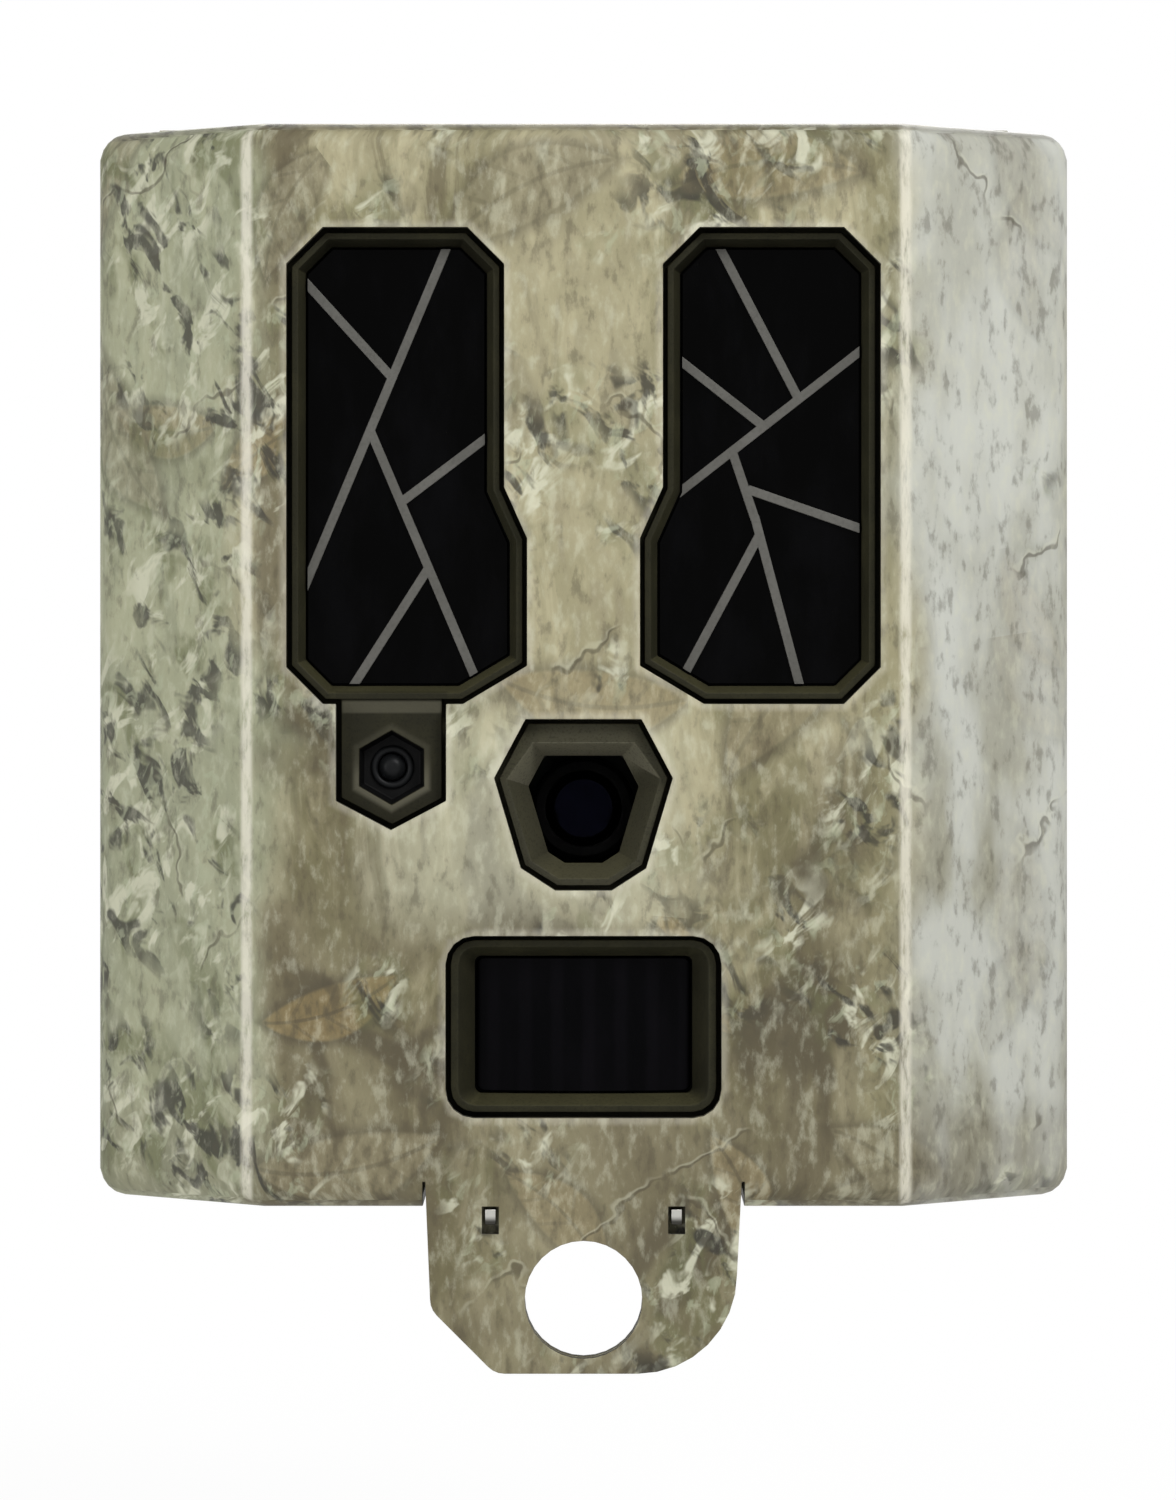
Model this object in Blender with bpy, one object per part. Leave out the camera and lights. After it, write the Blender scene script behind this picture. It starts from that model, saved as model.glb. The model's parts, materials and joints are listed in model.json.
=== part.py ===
"""Trail camera in its sheet-steel lock box.

Metres, +Z up. The box's back rests on the plane Y = 0, its front faces -Y and X runs to the right as seen
from the front. Depths below are distances forward from the back plane, so a depth d lies at Y = -d.
"""

import math

import bmesh
import bpy
from mathutils import Matrix, Vector

# Sheet-steel lock box
SHEET = 0.0015               # thickness of the steel
BEND_RADIUS = 0.0035         # outside of every folded edge
FACET_DEPTH = 0.018          # slanting side facets of the cover, front to back
FLAT_MARGIN = 0.0043         # flat front beyond the LED windows
TRAY_DEPTH = 0.058           # back of the tray to its open edge
OVERLAP = 0.007              # cover over tray
SIDE_ROOM = 0.0155           # camera to tray wall
HEAD_ROOM = 0.00465          # camera to tray roof

# Clearances
SEAT = 0.0003                # left where one piece rests on another
COVER_GAP = 0.0005           # tray to cover at the sides and top
FLOOR_GAP = 0.001            # tray to the cover's bottom flange, for its swing
COLLAR_GAP = 0.0005          # camera collars to the back of the cover's front
CUT_FIT = 0.0006             # camera collars inside the cover's cut-outs
RUNNING = 0.0004             # between knuckles, and round pins and slides

# Cover hinge
HINGE_LENGTH = 0.116
HINGE_KNUCKLES = 5
KNUCKLE_RADIUS = 0.0026
HINGE_PIN_RADIUS = 0.00125
HINGE_SETBACK = 0.003        # hinge axis behind the cover's rear edge

# Lock tab and hasp
TAB_WIDTH = 0.0402
TAB_DROP = 0.02165           # below the box
TAB_TAPER = 0.0007           # wider at the box, each side
TAB_ROUND = 0.013            # large corner
TAB_CHAMFER = 0.0085         # cut corner
TAB_EASE = 0.003             # rounds at both ends of the cut
LOCK_HOLE = 0.0077           # radius
LOCK_HOLE_DROP = 0.01195     # hole centre below the box
PRONG_SPREAD = 0.0122        # each side of the middle
PRONG_WIDTH = 0.0014
PRONG_HEIGHT = 0.002
PRONG_DROP = 0.00115         # prong centre below the box
PRONG_SLOT_SPARE = 0.0012    # slot below the prong, for the cover's swing
HASP_GAP = 0.0008            # hasp plate to lock tab

# Back of the tray
LAG_HOLE = 0.0035            # radius
LAG_SPREAD = 0.05
LAG_RISE = 0.056
STRAP_SLOT_WIDTH = 0.005
STRAP_SLOT_HEIGHT = 0.028
STRAP_SLOT_SPREAD = 0.0565

# Camera windows, as the cover's cut-outs show them
LED_HALF_GAP = 0.0104        # middle of the box to the upper part of an LED window
LED_WIDTH = 0.0285
LED_HEIGHT = 0.0624
LED_STEP = 0.003             # lower part reaches this much further in
LED_STEP_TOP = 0.034         # start of that step below the window's top
LED_STEP_RUN = 0.0067
LED_CHAMFER = 0.0048
LED_FOOT_IN = 0.0084         # bottom inner corner, across and up
LED_FOOT_RISE = 0.005
LENS_TOP = 0.0152            # widths across the lens cut-out, from its top down
LENS_WAIST = 0.0234
LENS_LOW = 0.0164
LENS_FOOT = 0.0074
LENS_HEIGHT = 0.0224
LENS_WAIST_DROP = 0.0077
LENS_LOW_DROP = 0.0195
PIR_WIDTH = 0.0361
PIR_HEIGHT = 0.0238
PIR_CORNER = 0.0037
SHIELD_OFFSET = 0.0252       # light-sensor shield left of the middle
SHIELD_WIDTH = 0.0144
SHIELD_SIDE = 0.0127         # its sides and its point below the LED window
SHIELD_POINT = 0.0165
LED_LENS_GAP = 0.002
LENS_PIR_GAP = 0.006
EDGE_MARGIN = 0.0057         # windows to the camera's top and bottom
SIDE_MARGIN = 0.0071         # LED windows to the camera's sides

# Camera casing
WALL = 0.0025
CASE_CORNER = 0.01
CASE_EDGE = 0.003            # chamfer round the front
COLLAR_DEPTH = 0.0035
FRONT_DEPTH = 0.0317
SEAL_THICKNESS = 0.0012
REAR_DEPTH = 0.0275
RAIL_HEIGHT = 0.01
RAIL_WIDTH = 0.007
RAIL_SPREAD = 0.03
REAR_PAD = 0.0014
FLOOR_PAD = 0.00155
LED_RIM = 0.0023             # funnel rims of the collars
LENS_RIM = 0.0041
LENS_RIM_DROP = 0.0008       # lens opening sits low in its collar
LENS_BROW = 0.0017           # flat edge left above the lens funnel
PIR_RIM_SIDE = 0.0037
PIR_RIM_TOP = 0.0028
LIP = 0.0007                 # edge left at the mouth of a funnel

# Camera hinge and latches
DOOR_KNUCKLE = 0.003         # radius
DOOR_PIN_RADIUS = 0.0012
DOOR_KNUCKLE_LENGTH = 0.018
LATCH_RISE = 0.03            # each way from the camera's middle
LATCH_WIDTH = 0.012
LATCH_BAR = 0.0024
LATCH_BARREL = 0.002         # radius round the pivot
LATCH_STUB = 0.0011
LATCH_REACH = 0.0106         # pivot to the hook's end
LATCH_SETBACK = 0.004        # pivot in front of the front shell's edge
LUG_WIDTH = 0.002
CATCH_HEIGHT = 0.0012
CATCH_WIDTH = 0.0016

# Panes, boards and lens, from the front wall back
PANE_RECESS = 0.0026         # panes behind the collars' front
PANE_FLANGE = 0.0015         # thickness, and reach behind the opening
RIB_WIDTH = 0.0014
RIB_HEIGHT = 0.0005
RIB_END = 0.0003             # ribs stop short of the pane's edge
LED_AIR = 0.0006
LED_RADIUS = 0.0023
LED_BODY = 0.0046
BOARD = 0.0016
PEG_RADIUS = 0.0015
LENS_PANE = 0.0012
LENS_PANE_RADIUS = 0.0085
LENS_AIR = 0.0005
BARREL_HEAD = 0.0066
BARREL_RADIUS = 0.007
SHANK_RADIUS = 0.006
LIGHT_BORE = 0.0048
GLASS_SHOULDER = 0.0012
GLASS_EDGE = 0.0014
GLASS_RISE = 0.0012
HOLDER_DEPTH = 0.0076
HOLDER_WIDTH = 0.034
HOLDER_HEIGHT = 0.018
FILTER_WIDTH = 0.019
FILTER_HEIGHT = 0.0092
FILTER_THICKNESS = 0.0012
FILTER_TRAVEL = 0.008
FILTER_WEB = 0.0008          # behind the filter's slot
SENSOR_BOARD = 0.0012
SENSOR_BOARD_WIDTH = 0.03
SENSOR_CHIP = 0.005
BOARD_LIFT = 0.0006
PIR_CROWN = 0.0016           # bulge of the pane, side to side
PIR_SENSOR_RADIUS = 0.0046
PIR_SENSOR_HEIGHT = 0.0045
EYE_DROP = 0.0084            # light sensor below the LED window
EYE_RECESS = 0.005           # hexagon round it, to its points
EYE_RADIUS = 0.0018
EYE_RISE = 0.0014
EYE_FLANGE = 0.0032
BOARD_MARGIN = 0.0015
POST_RADIUS = 0.0026
POST_INSET_X = 0.004         # posts from the inside of the walls
POST_INSET_Z = 0.0055

# Control panel, seen with the camera open
PANEL = 0.002
PANEL_MARGIN = 0.0008
PANEL_STANDOFF = 0.0053
SCREW_RADIUS = 0.001
SCREW_HEAD = 0.0024
SCREW_HEAD_HEIGHT = 0.0013
SCREW_LENGTH = 0.016
KEYPAD = 0.001
BUTTON_PITCH = 0.009
BUTTON_DROP = 0.011          # cross of buttons below the camera's middle
BUTTON_RADIUS = 0.0032
BUTTON_FLANGE = 0.001        # reach of the flange
BUTTON_FLANGE_HEIGHT = 0.0018
BUTTON_PROUD = 0.0009
DISPLAY_WIDTH = 0.05
DISPLAY_HEIGHT = 0.038
DISPLAY_THICKNESS = 0.003
DISPLAY_RISE = 0.026
DISPLAY_FRAME = 0.003
SWITCH_WIDTH = 0.005
SWITCH_HEIGHT = 0.006
SWITCH_FLANGE = 0.0015
SWITCH_OFFSET = 0.026
SWITCH_TRAVEL = 0.003        # each way
CARD_LENGTH = 0.032
CARD_HEIGHT = 0.024
CARD_THICKNESS = 0.0021
CARD_PROUD = 0.004
CARD_TRAVEL = 0.004
CARD_RISE = 0.02             # card's middle above the camera's bottom
CARD_OFFSET = 0.01
SLOT_WALL = 0.0006

# Batteries
CELL_RADIUS = 0.0071
CELL_LENGTH = 0.0505
CELL_NUB = 0.0027
CELL_NUB_HEIGHT = 0.0012
CELL_PITCH = 0.0154
CELL_COLUMNS = 4
CELL_TRAY_WALL = 0.0015
CELL_TRAY_FLOOR = 0.002
CONTACT = 0.0008
CONTACT_AIR = 0.0005

# Fittings
TRIPOD_RISE = 0.025          # above the camera's bottom
TRIPOD_BOSS = 0.008
TRIPOD_INSERT = 0.005
TRIPOD_BORE = 0.0032
TRIPOD_SETBACK = 0.0015
RAIL_LENGTH = 0.098
RAIL_SLOT = 0.026
RAIL_SLOT_WIDTH = 0.005
REAR_PAD_LENGTH = 0.08
FLOOR_PAD_SPREAD = 0.025
FLOOR_PAD_WIDTH = 0.01
FLOOR_PAD_LENGTH = 0.018
BRACKET_LENGTH = 0.064
BRACKET_DEPTH = 0.022
BRACKET_FOOT = 0.0064
BRACKET_GAP = 0.0006

# Worked out from the sizes above
CASE_WIDTH = 2 * (LED_HALF_GAP + LED_WIDTH + SIDE_MARGIN)
CASE_HEIGHT = 2 * EDGE_MARGIN + LED_HEIGHT + LED_LENS_GAP + LENS_HEIGHT + LENS_PIR_GAP + PIR_HEIGHT
CASE_BACK = SHEET + 2 * SEAT + REAR_PAD
REAR_WALL = CASE_BACK + RAIL_HEIGHT
REAR_EDGE = REAR_WALL + REAR_DEPTH
FRONT_EDGE = REAR_EDGE + SEAL_THICKNESS + 2 * SEAT
CASE_FACE = FRONT_EDGE + FRONT_DEPTH
CASE_FRONT = CASE_FACE + COLLAR_DEPTH
BOX_DEPTH = CASE_FRONT + COLLAR_GAP + SHEET
TRAY_HALF = CASE_WIDTH / 2 + SIDE_ROOM + SHEET
BOX_HALF = TRAY_HALF + COVER_GAP + SHEET
TRAY_UNDER = 2 * SHEET + FLOOR_GAP
BOX_HEIGHT = TRAY_UNDER + 2 * SEAT + FLOOR_PAD + CASE_HEIGHT + HEAD_ROOM + 2 * SHEET + COVER_GAP
BOX_TOP = BOX_HEIGHT / 2
BOX_FLOOR = -BOX_TOP
TRAY_TOP = BOX_TOP - SHEET - COVER_GAP
TRAY_FLOOR = BOX_FLOOR + SHEET + FLOOR_GAP
CASE_FLOOR = TRAY_FLOOR + SHEET + 2 * SEAT + FLOOR_PAD
CASE_TOP = CASE_FLOOR + CASE_HEIGHT
CASE_MIDDLE = CASE_FLOOR + CASE_HEIGHT / 2
FLAT_HALF = LED_HALF_GAP + LED_WIDTH + FLAT_MARGIN
COVER_REAR = TRAY_DEPTH - OVERLAP
HINGE_DEPTH = COVER_REAR - HINGE_SETBACK
HINGE_HEIGHT = BOX_TOP - SHEET + COVER_GAP
LED_TOP = CASE_TOP - EDGE_MARGIN
LED_FLOOR = LED_TOP - LED_HEIGHT
LENS_CEILING = LED_FLOOR - LED_LENS_GAP
PIR_MIDDLE = CASE_FLOOR + EDGE_MARGIN + PIR_HEIGHT / 2
FACE_BACK = CASE_FACE - WALL
PANE_FRONT = CASE_FRONT - PANE_RECESS
LENS_AXIS = LENS_CEILING - LENS_HEIGHT / 2 - LENS_RIM_DROP
EYE_HEIGHT = LED_FLOOR - EYE_DROP
BARREL_FRONT = FACE_BACK - SEAT - LENS_PANE - LENS_AIR
GLASS_BACK = BARREL_FRONT - LENS_AIR - GLASS_RISE - GLASS_EDGE
HOLDER_FRONT = BARREL_FRONT - BARREL_HEAD - SEAT
HOLDER_BACK = HOLDER_FRONT - HOLDER_DEPTH
SENSOR_FRONT = HOLDER_BACK - SEAT
BOARD_FRONT = SENSOR_FRONT - SENSOR_BOARD - BOARD_LIFT
BOARD_BACK = BOARD_FRONT - BOARD
PANEL_FRONT = BOARD_BACK - PANEL_STANDOFF
PANEL_BACK = PANEL_FRONT - PANEL
POST_X = CASE_WIDTH / 2 - WALL - POST_INSET_X
POST_RISE = CASE_HEIGHT / 2 - WALL - POST_INSET_Z
POSTS = [(x * POST_X, CASE_MIDDLE + z * POST_RISE) for x in (-1, 1) for z in (-1, 1)]
FILTER_BACK = HOLDER_BACK + FILTER_WEB + SEAT
FILTER_FRONT = FILTER_BACK + FILTER_THICKNESS
DOOR_AXIS_X = -(CASE_WIDTH / 2 + DOOR_KNUCKLE + RUNNING)
DOOR_AXIS_DEPTH = (REAR_EDGE + FRONT_EDGE) / 2
LATCH_X = CASE_WIDTH / 2 + LATCH_BARREL + RUNNING
LATCH_DEPTH = FRONT_EDGE + LATCH_SETBACK
CELL_TRAY_BACK = REAR_WALL + WALL + SEAT
CELL_DEPTH = CELL_TRAY_BACK + CELL_TRAY_FLOOR + SEAT + CELL_RADIUS
CELL_TRAY_FRONT = CELL_DEPTH + CELL_RADIUS
CELL_TRAY_HALF = CELL_COLUMNS * CELL_PITCH / 2 + CELL_TRAY_WALL
CELL_ROOM = CELL_LENGTH + CONTACT_AIR + SEAT
CONTACT_INNER = CELL_TRAY_WALL / 2 + CELL_ROOM + CONTACT_AIR
CELL_TRAY_RISE = CONTACT_INNER + CONTACT + SEAT + CELL_TRAY_WALL
BUTTON_MIDDLE = CASE_MIDDLE - BUTTON_DROP
CARD_MIDDLE = CASE_FLOOR + CARD_RISE
CARD_BACK = BOARD_BACK - SEAT - SLOT_WALL - SEAT - CARD_THICKNESS

# Turning an outline (u, v) at a third position into a point of the model
VIEWS = {
    "front": lambda u, v, depth: Vector((u, -depth, v)),     # outline in X and Z, built along the depth
    "top": lambda u, v, height: Vector((u, -v, height)),     # outline in X and depth, built along Z
    "side": lambda u, v, across: Vector((across, -u, v)),    # outline in depth and Z, built along X
}


def clear_scene():
    for item in list(bpy.data.objects):
        bpy.data.objects.remove(item)


def arc(centre, radius, start, end, steps):
    """Points on an arc, from one angle to the other in degrees."""
    angles = [math.radians(start + (end - start) * step / steps) for step in range(steps + 1)]
    return [(centre[0] + radius * math.cos(a), centre[1] + radius * math.sin(a)) for a in angles]


def circle(radius, centre=(0, 0), sides=24):
    return arc(centre, radius, 0, 360 - 360 / sides, sides - 1)


def rectangle(u0, v0, u1, v1):
    return [(u0, v0), (u1, v0), (u1, v1), (u0, v1)]


def rounded(width, height, radius, centre=(0, 0), steps=4):
    """A rectangle with round corners, counter-clockwise."""
    u, v = width / 2 - radius, height / 2 - radius
    corners = [((u, -v), -90), ((u, v), 0), ((-u, v), 90), ((-u, -v), 180)]
    outline = []
    for (x, y), start in corners:
        outline += arc((centre[0] + x, centre[1] + y), radius, start, start + 90, steps)
    return outline


def stadium(width, height, centre):
    """An upright slot with round ends."""
    reach = (height - width) / 2
    top = arc((centre[0], centre[1] + reach), width / 2, 0, 180, 8)
    bottom = arc((centre[0], centre[1] - reach), width / 2, 180, 360, 8)
    return top + bottom


def dome(radius, base, rise):
    """Profile of a dome, from its edge to a small flat on top."""
    angles = [math.radians(18 * step) for step in range(5)]
    return [(radius * math.cos(angle), base + rise * math.sin(angle)) for angle in angles]


def mirrored(outline):
    return [(-u, v) for u, v in reversed(outline)]


def shifted(outline, du=0, dv=0):
    return [(u + du, v + dv) for u, v in outline]


def inset(outline, distance):
    """A counter-clockwise outline moved inwards by a distance, with mitred corners."""
    points = [Vector(point) for point in outline]
    moved = []
    for index, point in enumerate(points):
        before = (point - points[index - 1]).normalized()
        after = (points[(index + 1) % len(points)] - point).normalized()
        inward = Vector((-before.y, before.x)) + Vector((-after.y, after.x))
        inward.normalize()
        moved.append(tuple(point + inward * distance / inward.dot(Vector((-after.y, after.x)))))
    return moved


def loft(name, stations, view="front"):
    """One closed body through outlines of equal count, each with its position along the view's axis."""
    shape = bmesh.new()
    rings = []
    for outline, position in stations:
        rings.append([shape.verts.new(VIEWS[view](u, v, position)) for u, v in outline])
    count = len(rings[0])
    for ring, following in zip(rings, rings[1:]):
        for index in range(count):
            beside = (index + 1) % count
            shape.faces.new((ring[index], ring[beside], following[beside], following[index]))
    shape.faces.new(rings[0])
    shape.faces.new(rings[-1])
    bmesh.ops.recalc_face_normals(shape, faces=shape.faces)
    return finished(name, shape)


def slab(name, outline, start, end, view="front"):
    return loft(name, [(outline, start), (outline, end)], view)


def block(name, x, depth, z):
    """A box from its ranges in X, depth and Z."""
    return slab(name, rectangle(x[0], z[0], x[1], z[1]), depth[0], depth[1])


def finished(name, shape):
    mesh = bpy.data.meshes.new(name)
    shape.to_mesh(mesh)
    shape.free()
    piece = bpy.data.objects.new(name, mesh)
    bpy.context.scene.collection.objects.link(piece)
    return piece


def apply_modifiers(piece):
    bpy.context.view_layer.update()
    graph = bpy.context.evaluated_depsgraph_get()
    mesh = bpy.data.meshes.new_from_object(piece.evaluated_get(graph))
    piece.modifiers.clear()
    piece.data = mesh


def combine(piece, operation, tools):
    """Unite the tools with a piece, cut them out of it, or keep what it shares with them."""
    for tool in tools:
        boolean = piece.modifiers.new(operation, "BOOLEAN")
        boolean.operation = operation
        boolean.object = tool
        apply_modifiers(piece)
        bpy.data.objects.remove(tool)
    return piece


def unite(piece, *tools):
    return combine(piece, "UNION", tools)


def cut(piece, *tools):
    return combine(piece, "DIFFERENCE", tools)


def place_origin(piece, pivot):
    """Put a moving piece's origin on its joint's axis."""
    piece.data.transform(Matrix.Translation(-pivot))
    piece.location = pivot


def paint(piece, colour, roughness, metallic=0.0):
    material = bpy.data.materials.new(piece.name)
    material.use_nodes = True
    shader = material.node_tree.nodes["Principled BSDF"]
    shader.inputs["Base Color"].default_value = (*colour, 1.0)
    shader.inputs["Roughness"].default_value = roughness
    shader.inputs["Metallic"].default_value = metallic
    piece.data.materials.clear()
    piece.data.materials.append(material)
    piece.data.shade_smooth()
    piece.data.set_sharp_from_angle(angle=math.radians(30))
    return piece


CAMO = (0.36, 0.33, 0.24)
CASE_OLIVE = (0.045, 0.047, 0.035)
BLACK = (0.01, 0.01, 0.01)
STEEL = (0.6, 0.6, 0.58)
BOARD_GREEN = (0.02, 0.12, 0.05)


def folded_shell(name, outline, low, high, view, open_end):
    """A sheet-steel shell folded from an outline, open at one end or along one side of the outline."""
    piece = slab(name, outline, low, high, view)
    shape = bmesh.new()
    shape.from_mesh(piece.data)
    opening = [face for face in shape.faces if face.normal.dot(open_end) > 0.99]
    bmesh.ops.delete(shape, geom=opening, context="FACES_ONLY")
    folds = [edge for edge in shape.edges if not edge.is_boundary]
    bmesh.ops.bevel(shape, geom=folds, offset=BEND_RADIUS, segments=4, profile=0.5, affect="EDGES")
    shape.to_mesh(piece.data)
    shape.free()
    wall = piece.modifiers.new("wall", "SOLIDIFY")
    wall.thickness = SHEET
    wall.offset = -1
    wall.use_even_offset = True
    apply_modifiers(piece)
    return piece


def led_outline():
    """Right-hand LED cut-out, counter-clockwise from the inner side of its top."""
    inner, outer = LED_HALF_GAP, LED_HALF_GAP + LED_WIDTH
    step = LED_TOP - LED_STEP_TOP
    return [
        (inner + LED_CHAMFER, LED_TOP),
        (inner, LED_TOP - LED_CHAMFER),
        (inner, step),
        (inner - LED_STEP, step - LED_STEP_RUN),
        (inner - LED_STEP, LED_FLOOR + LED_FOOT_RISE),
        (inner - LED_STEP + LED_FOOT_IN, LED_FLOOR),
        (outer - LED_CHAMFER, LED_FLOOR),
        (outer, LED_FLOOR + LED_CHAMFER),
        (outer, LED_TOP - LED_CHAMFER),
        (outer - LED_CHAMFER, LED_TOP),
    ]


def lens_outline():
    right = [
        (LENS_FOOT / 2, LENS_CEILING - LENS_HEIGHT),
        (LENS_LOW / 2, LENS_CEILING - LENS_LOW_DROP),
        (LENS_WAIST / 2, LENS_CEILING - LENS_WAIST_DROP),
        (LENS_TOP / 2, LENS_CEILING),
    ]
    return right + mirrored(right)


def pir_outline(rim_side=0, rim_top=0, corner=PIR_CORNER):
    return rounded(PIR_WIDTH - 2 * rim_side, PIR_HEIGHT - 2 * rim_top, corner, (0, PIR_MIDDLE))


def shield_outline():
    """Light-sensor shield, which hangs from the left LED window."""
    middle, half = -SHIELD_OFFSET, SHIELD_WIDTH / 2
    root = LED_FLOOR + LED_RIM
    return [
        (middle + half, root),
        (middle - half, root),
        (middle - half, LED_FLOOR - SHIELD_SIDE),
        (middle, LED_FLOOR - SHIELD_POINT),
        (middle + half, LED_FLOOR - SHIELD_SIDE),
    ]


def tab_outline(top):
    """Lock tab: one lower corner is cut and eased, the other is a large round."""
    half, foot = TAB_WIDTH / 2, BOX_FLOOR - TAB_DROP
    root = half + TAB_TAPER
    reach = TAB_CHAMFER + TAB_EASE * math.tan(math.pi / 8)
    cut_corner = arc((TAB_EASE - half, foot + reach), TAB_EASE, 180, 225, 3)
    cut_corner += arc((reach - half, foot + TAB_EASE), TAB_EASE, 225, 270, 3)
    round_corner = arc((half - TAB_ROUND, foot + TAB_ROUND), TAB_ROUND, -90, 0, 8)
    return [(root, top), (-root, top)] + cut_corner + round_corner


def prong_range(side, spare=0.0):
    """Ranges in X and Z of a locating prong, or of its slot with the spare added."""
    middle = BOX_FLOOR - PRONG_DROP
    across = PRONG_WIDTH / 2 + min(spare, RUNNING)
    x = (side * PRONG_SPREAD - across, side * PRONG_SPREAD + across)
    return x, (middle - PRONG_HEIGHT / 2 - spare, middle + PRONG_HEIGHT / 2 + min(spare, RUNNING))


def knuckle(index, length, anchor, height):
    """One hinge knuckle with the leaf that joins it to a wall, along X."""
    start = -HINGE_LENGTH / 2 + index * length + RUNNING / 2
    end = start + length - RUNNING
    barrel = slab("knuckle", circle(KNUCKLE_RADIUS, (HINGE_DEPTH, HINGE_HEIGHT), 20), start, end, "side")
    leaf = block("leaf", (start, end), sorted((HINGE_DEPTH, anchor)), (height, height + SHEET))
    return unite(barrel, leaf)


def pin_bore():
    reach = HINGE_LENGTH / 2 + RUNNING
    outline = circle(HINGE_PIN_RADIUS + RUNNING, (HINGE_DEPTH, HINGE_HEIGHT), 16)
    return slab("pin_bore", outline, -reach, reach, "side")


def box_cover():
    outline = [
        (-BOX_HALF, COVER_REAR), (BOX_HALF, COVER_REAR), (BOX_HALF, BOX_DEPTH - FACET_DEPTH),
        (FLAT_HALF, BOX_DEPTH), (-FLAT_HALF, BOX_DEPTH), (-BOX_HALF, BOX_DEPTH - FACET_DEPTH),
    ]
    cover = folded_shell("box_cover", outline, BOX_FLOOR, BOX_TOP, "top", Vector((0, 1, 0)))
    through = (BOX_DEPTH - SHEET - RUNNING, BOX_DEPTH + RUNNING)
    notch = TAB_WIDTH / 2 + TAB_TAPER + SEAT
    tab_root = BOX_FLOOR + BEND_RADIUS
    cut(cover, block("notch", (-notch, notch), (COVER_REAR - SHEET, BOX_DEPTH + SHEET),
                     (BOX_FLOOR - SHEET, tab_root)))
    unite(cover, slab("tab", tab_outline(tab_root + SHEET), BOX_DEPTH - SHEET, BOX_DEPTH))
    lock_hole = circle(LOCK_HOLE, (0, BOX_FLOOR - LOCK_HOLE_DROP), 32)
    leds = [led_outline(), mirrored(led_outline())]
    openings = leds + [shield_outline(), lens_outline(), pir_outline(), lock_hole]
    cut(cover, *[slab("opening", opening, *through) for opening in openings])
    for side in (-1, 1):
        x, z = prong_range(side, PRONG_SLOT_SPARE)
        cut(cover, block("prong_slot", x, through, z))
    length = HINGE_LENGTH / HINGE_KNUCKLES
    for index in range(1, HINGE_KNUCKLES, 2):
        unite(cover, knuckle(index, length, COVER_REAR + SHEET, BOX_TOP - SHEET))
    cut(cover, pin_bore())
    place_origin(cover, Vector((0, -HINGE_DEPTH, HINGE_HEIGHT)))
    return paint(cover, CAMO, 0.55)


def box_tray():
    outline = rectangle(-TRAY_HALF, TRAY_FLOOR, TRAY_HALF, TRAY_TOP)
    tray = folded_shell("box_tray", outline, 0, TRAY_DEPTH, "front", Vector((0, -1, 0)))
    roof_edge = HINGE_DEPTH - KNUCKLE_RADIUS - RUNNING
    cut(tray, block("roof_cut", (-BOX_HALF, BOX_HALF), (roof_edge, BOX_DEPTH),
                    (TRAY_TOP - BEND_RADIUS - SHEET, BOX_TOP)))
    length = HINGE_LENGTH / HINGE_KNUCKLES
    for index in range(0, HINGE_KNUCKLES, 2):
        unite(tray, knuckle(index, length, roof_edge - SHEET, TRAY_TOP - SHEET))
    cut(tray, pin_bore())
    hasp_front = BOX_DEPTH - SHEET - HASP_GAP
    half = TAB_WIDTH / 2 + TAB_TAPER
    tongue = block("tongue", (-half, half), (TRAY_DEPTH - 2 * SHEET, hasp_front),
                   (TRAY_FLOOR, TRAY_FLOOR + SHEET))
    hasp = slab("hasp", tab_outline(TRAY_FLOOR + SHEET), hasp_front - SHEET, hasp_front)
    unite(tray, unite(tongue, hasp))
    for side in (-1, 1):
        x, z = prong_range(side)
        unite(tray, block("prong", x, (hasp_front - SHEET / 2, BOX_DEPTH - RUNNING), z))
    through = (-SHEET, 2 * SHEET)
    lags = [circle(LAG_HOLE, (x * LAG_SPREAD, z * LAG_RISE), 20) for x in (-1, 1) for z in (-1, 1)]
    straps = [stadium(STRAP_SLOT_WIDTH, STRAP_SLOT_HEIGHT, (x * STRAP_SLOT_SPREAD, 0)) for x in (-1, 1)]
    cut(tray, *[slab("hole", hole, *through) for hole in lags + straps])
    cut(tray, slab("lock_hole", circle(LOCK_HOLE, (0, BOX_FLOOR - LOCK_HOLE_DROP), 32),
                   hasp_front - 2 * SHEET, BOX_DEPTH))
    return paint(tray, CAMO, 0.6)


def hinge_pin():
    reach = HINGE_LENGTH / 2
    shaft = circle(HINGE_PIN_RADIUS, (HINGE_DEPTH, HINGE_HEIGHT), 16)
    pin = slab("hinge_pin", shaft, -reach, reach, "side")
    return paint(pin, STEEL, 0.35, 1.0)


def case_outline(margin=0.0):
    return rounded(CASE_WIDTH - 2 * margin, CASE_HEIGHT - 2 * margin, CASE_CORNER - margin, (0, CASE_MIDDLE))


def funnel(outline, throat, floor, brow=0.0):
    """Cutter for a collar's tapered mouth below its brow, which runs straight on through the front wall."""
    mouth = inset(outline, CUT_FIT + LIP)
    ceiling = max(v for _, v in mouth)
    mouth = [(u, min(v, ceiling - brow)) for u, v in mouth]
    return loft("funnel", [(mouth, CASE_FRONT + RUNNING), (throat, floor), (throat, FACE_BACK - RUNNING)])


def hexagon(radius):
    return arc((-SHIELD_OFFSET, EYE_HEIGHT), radius, 90, 390, 5)


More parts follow.
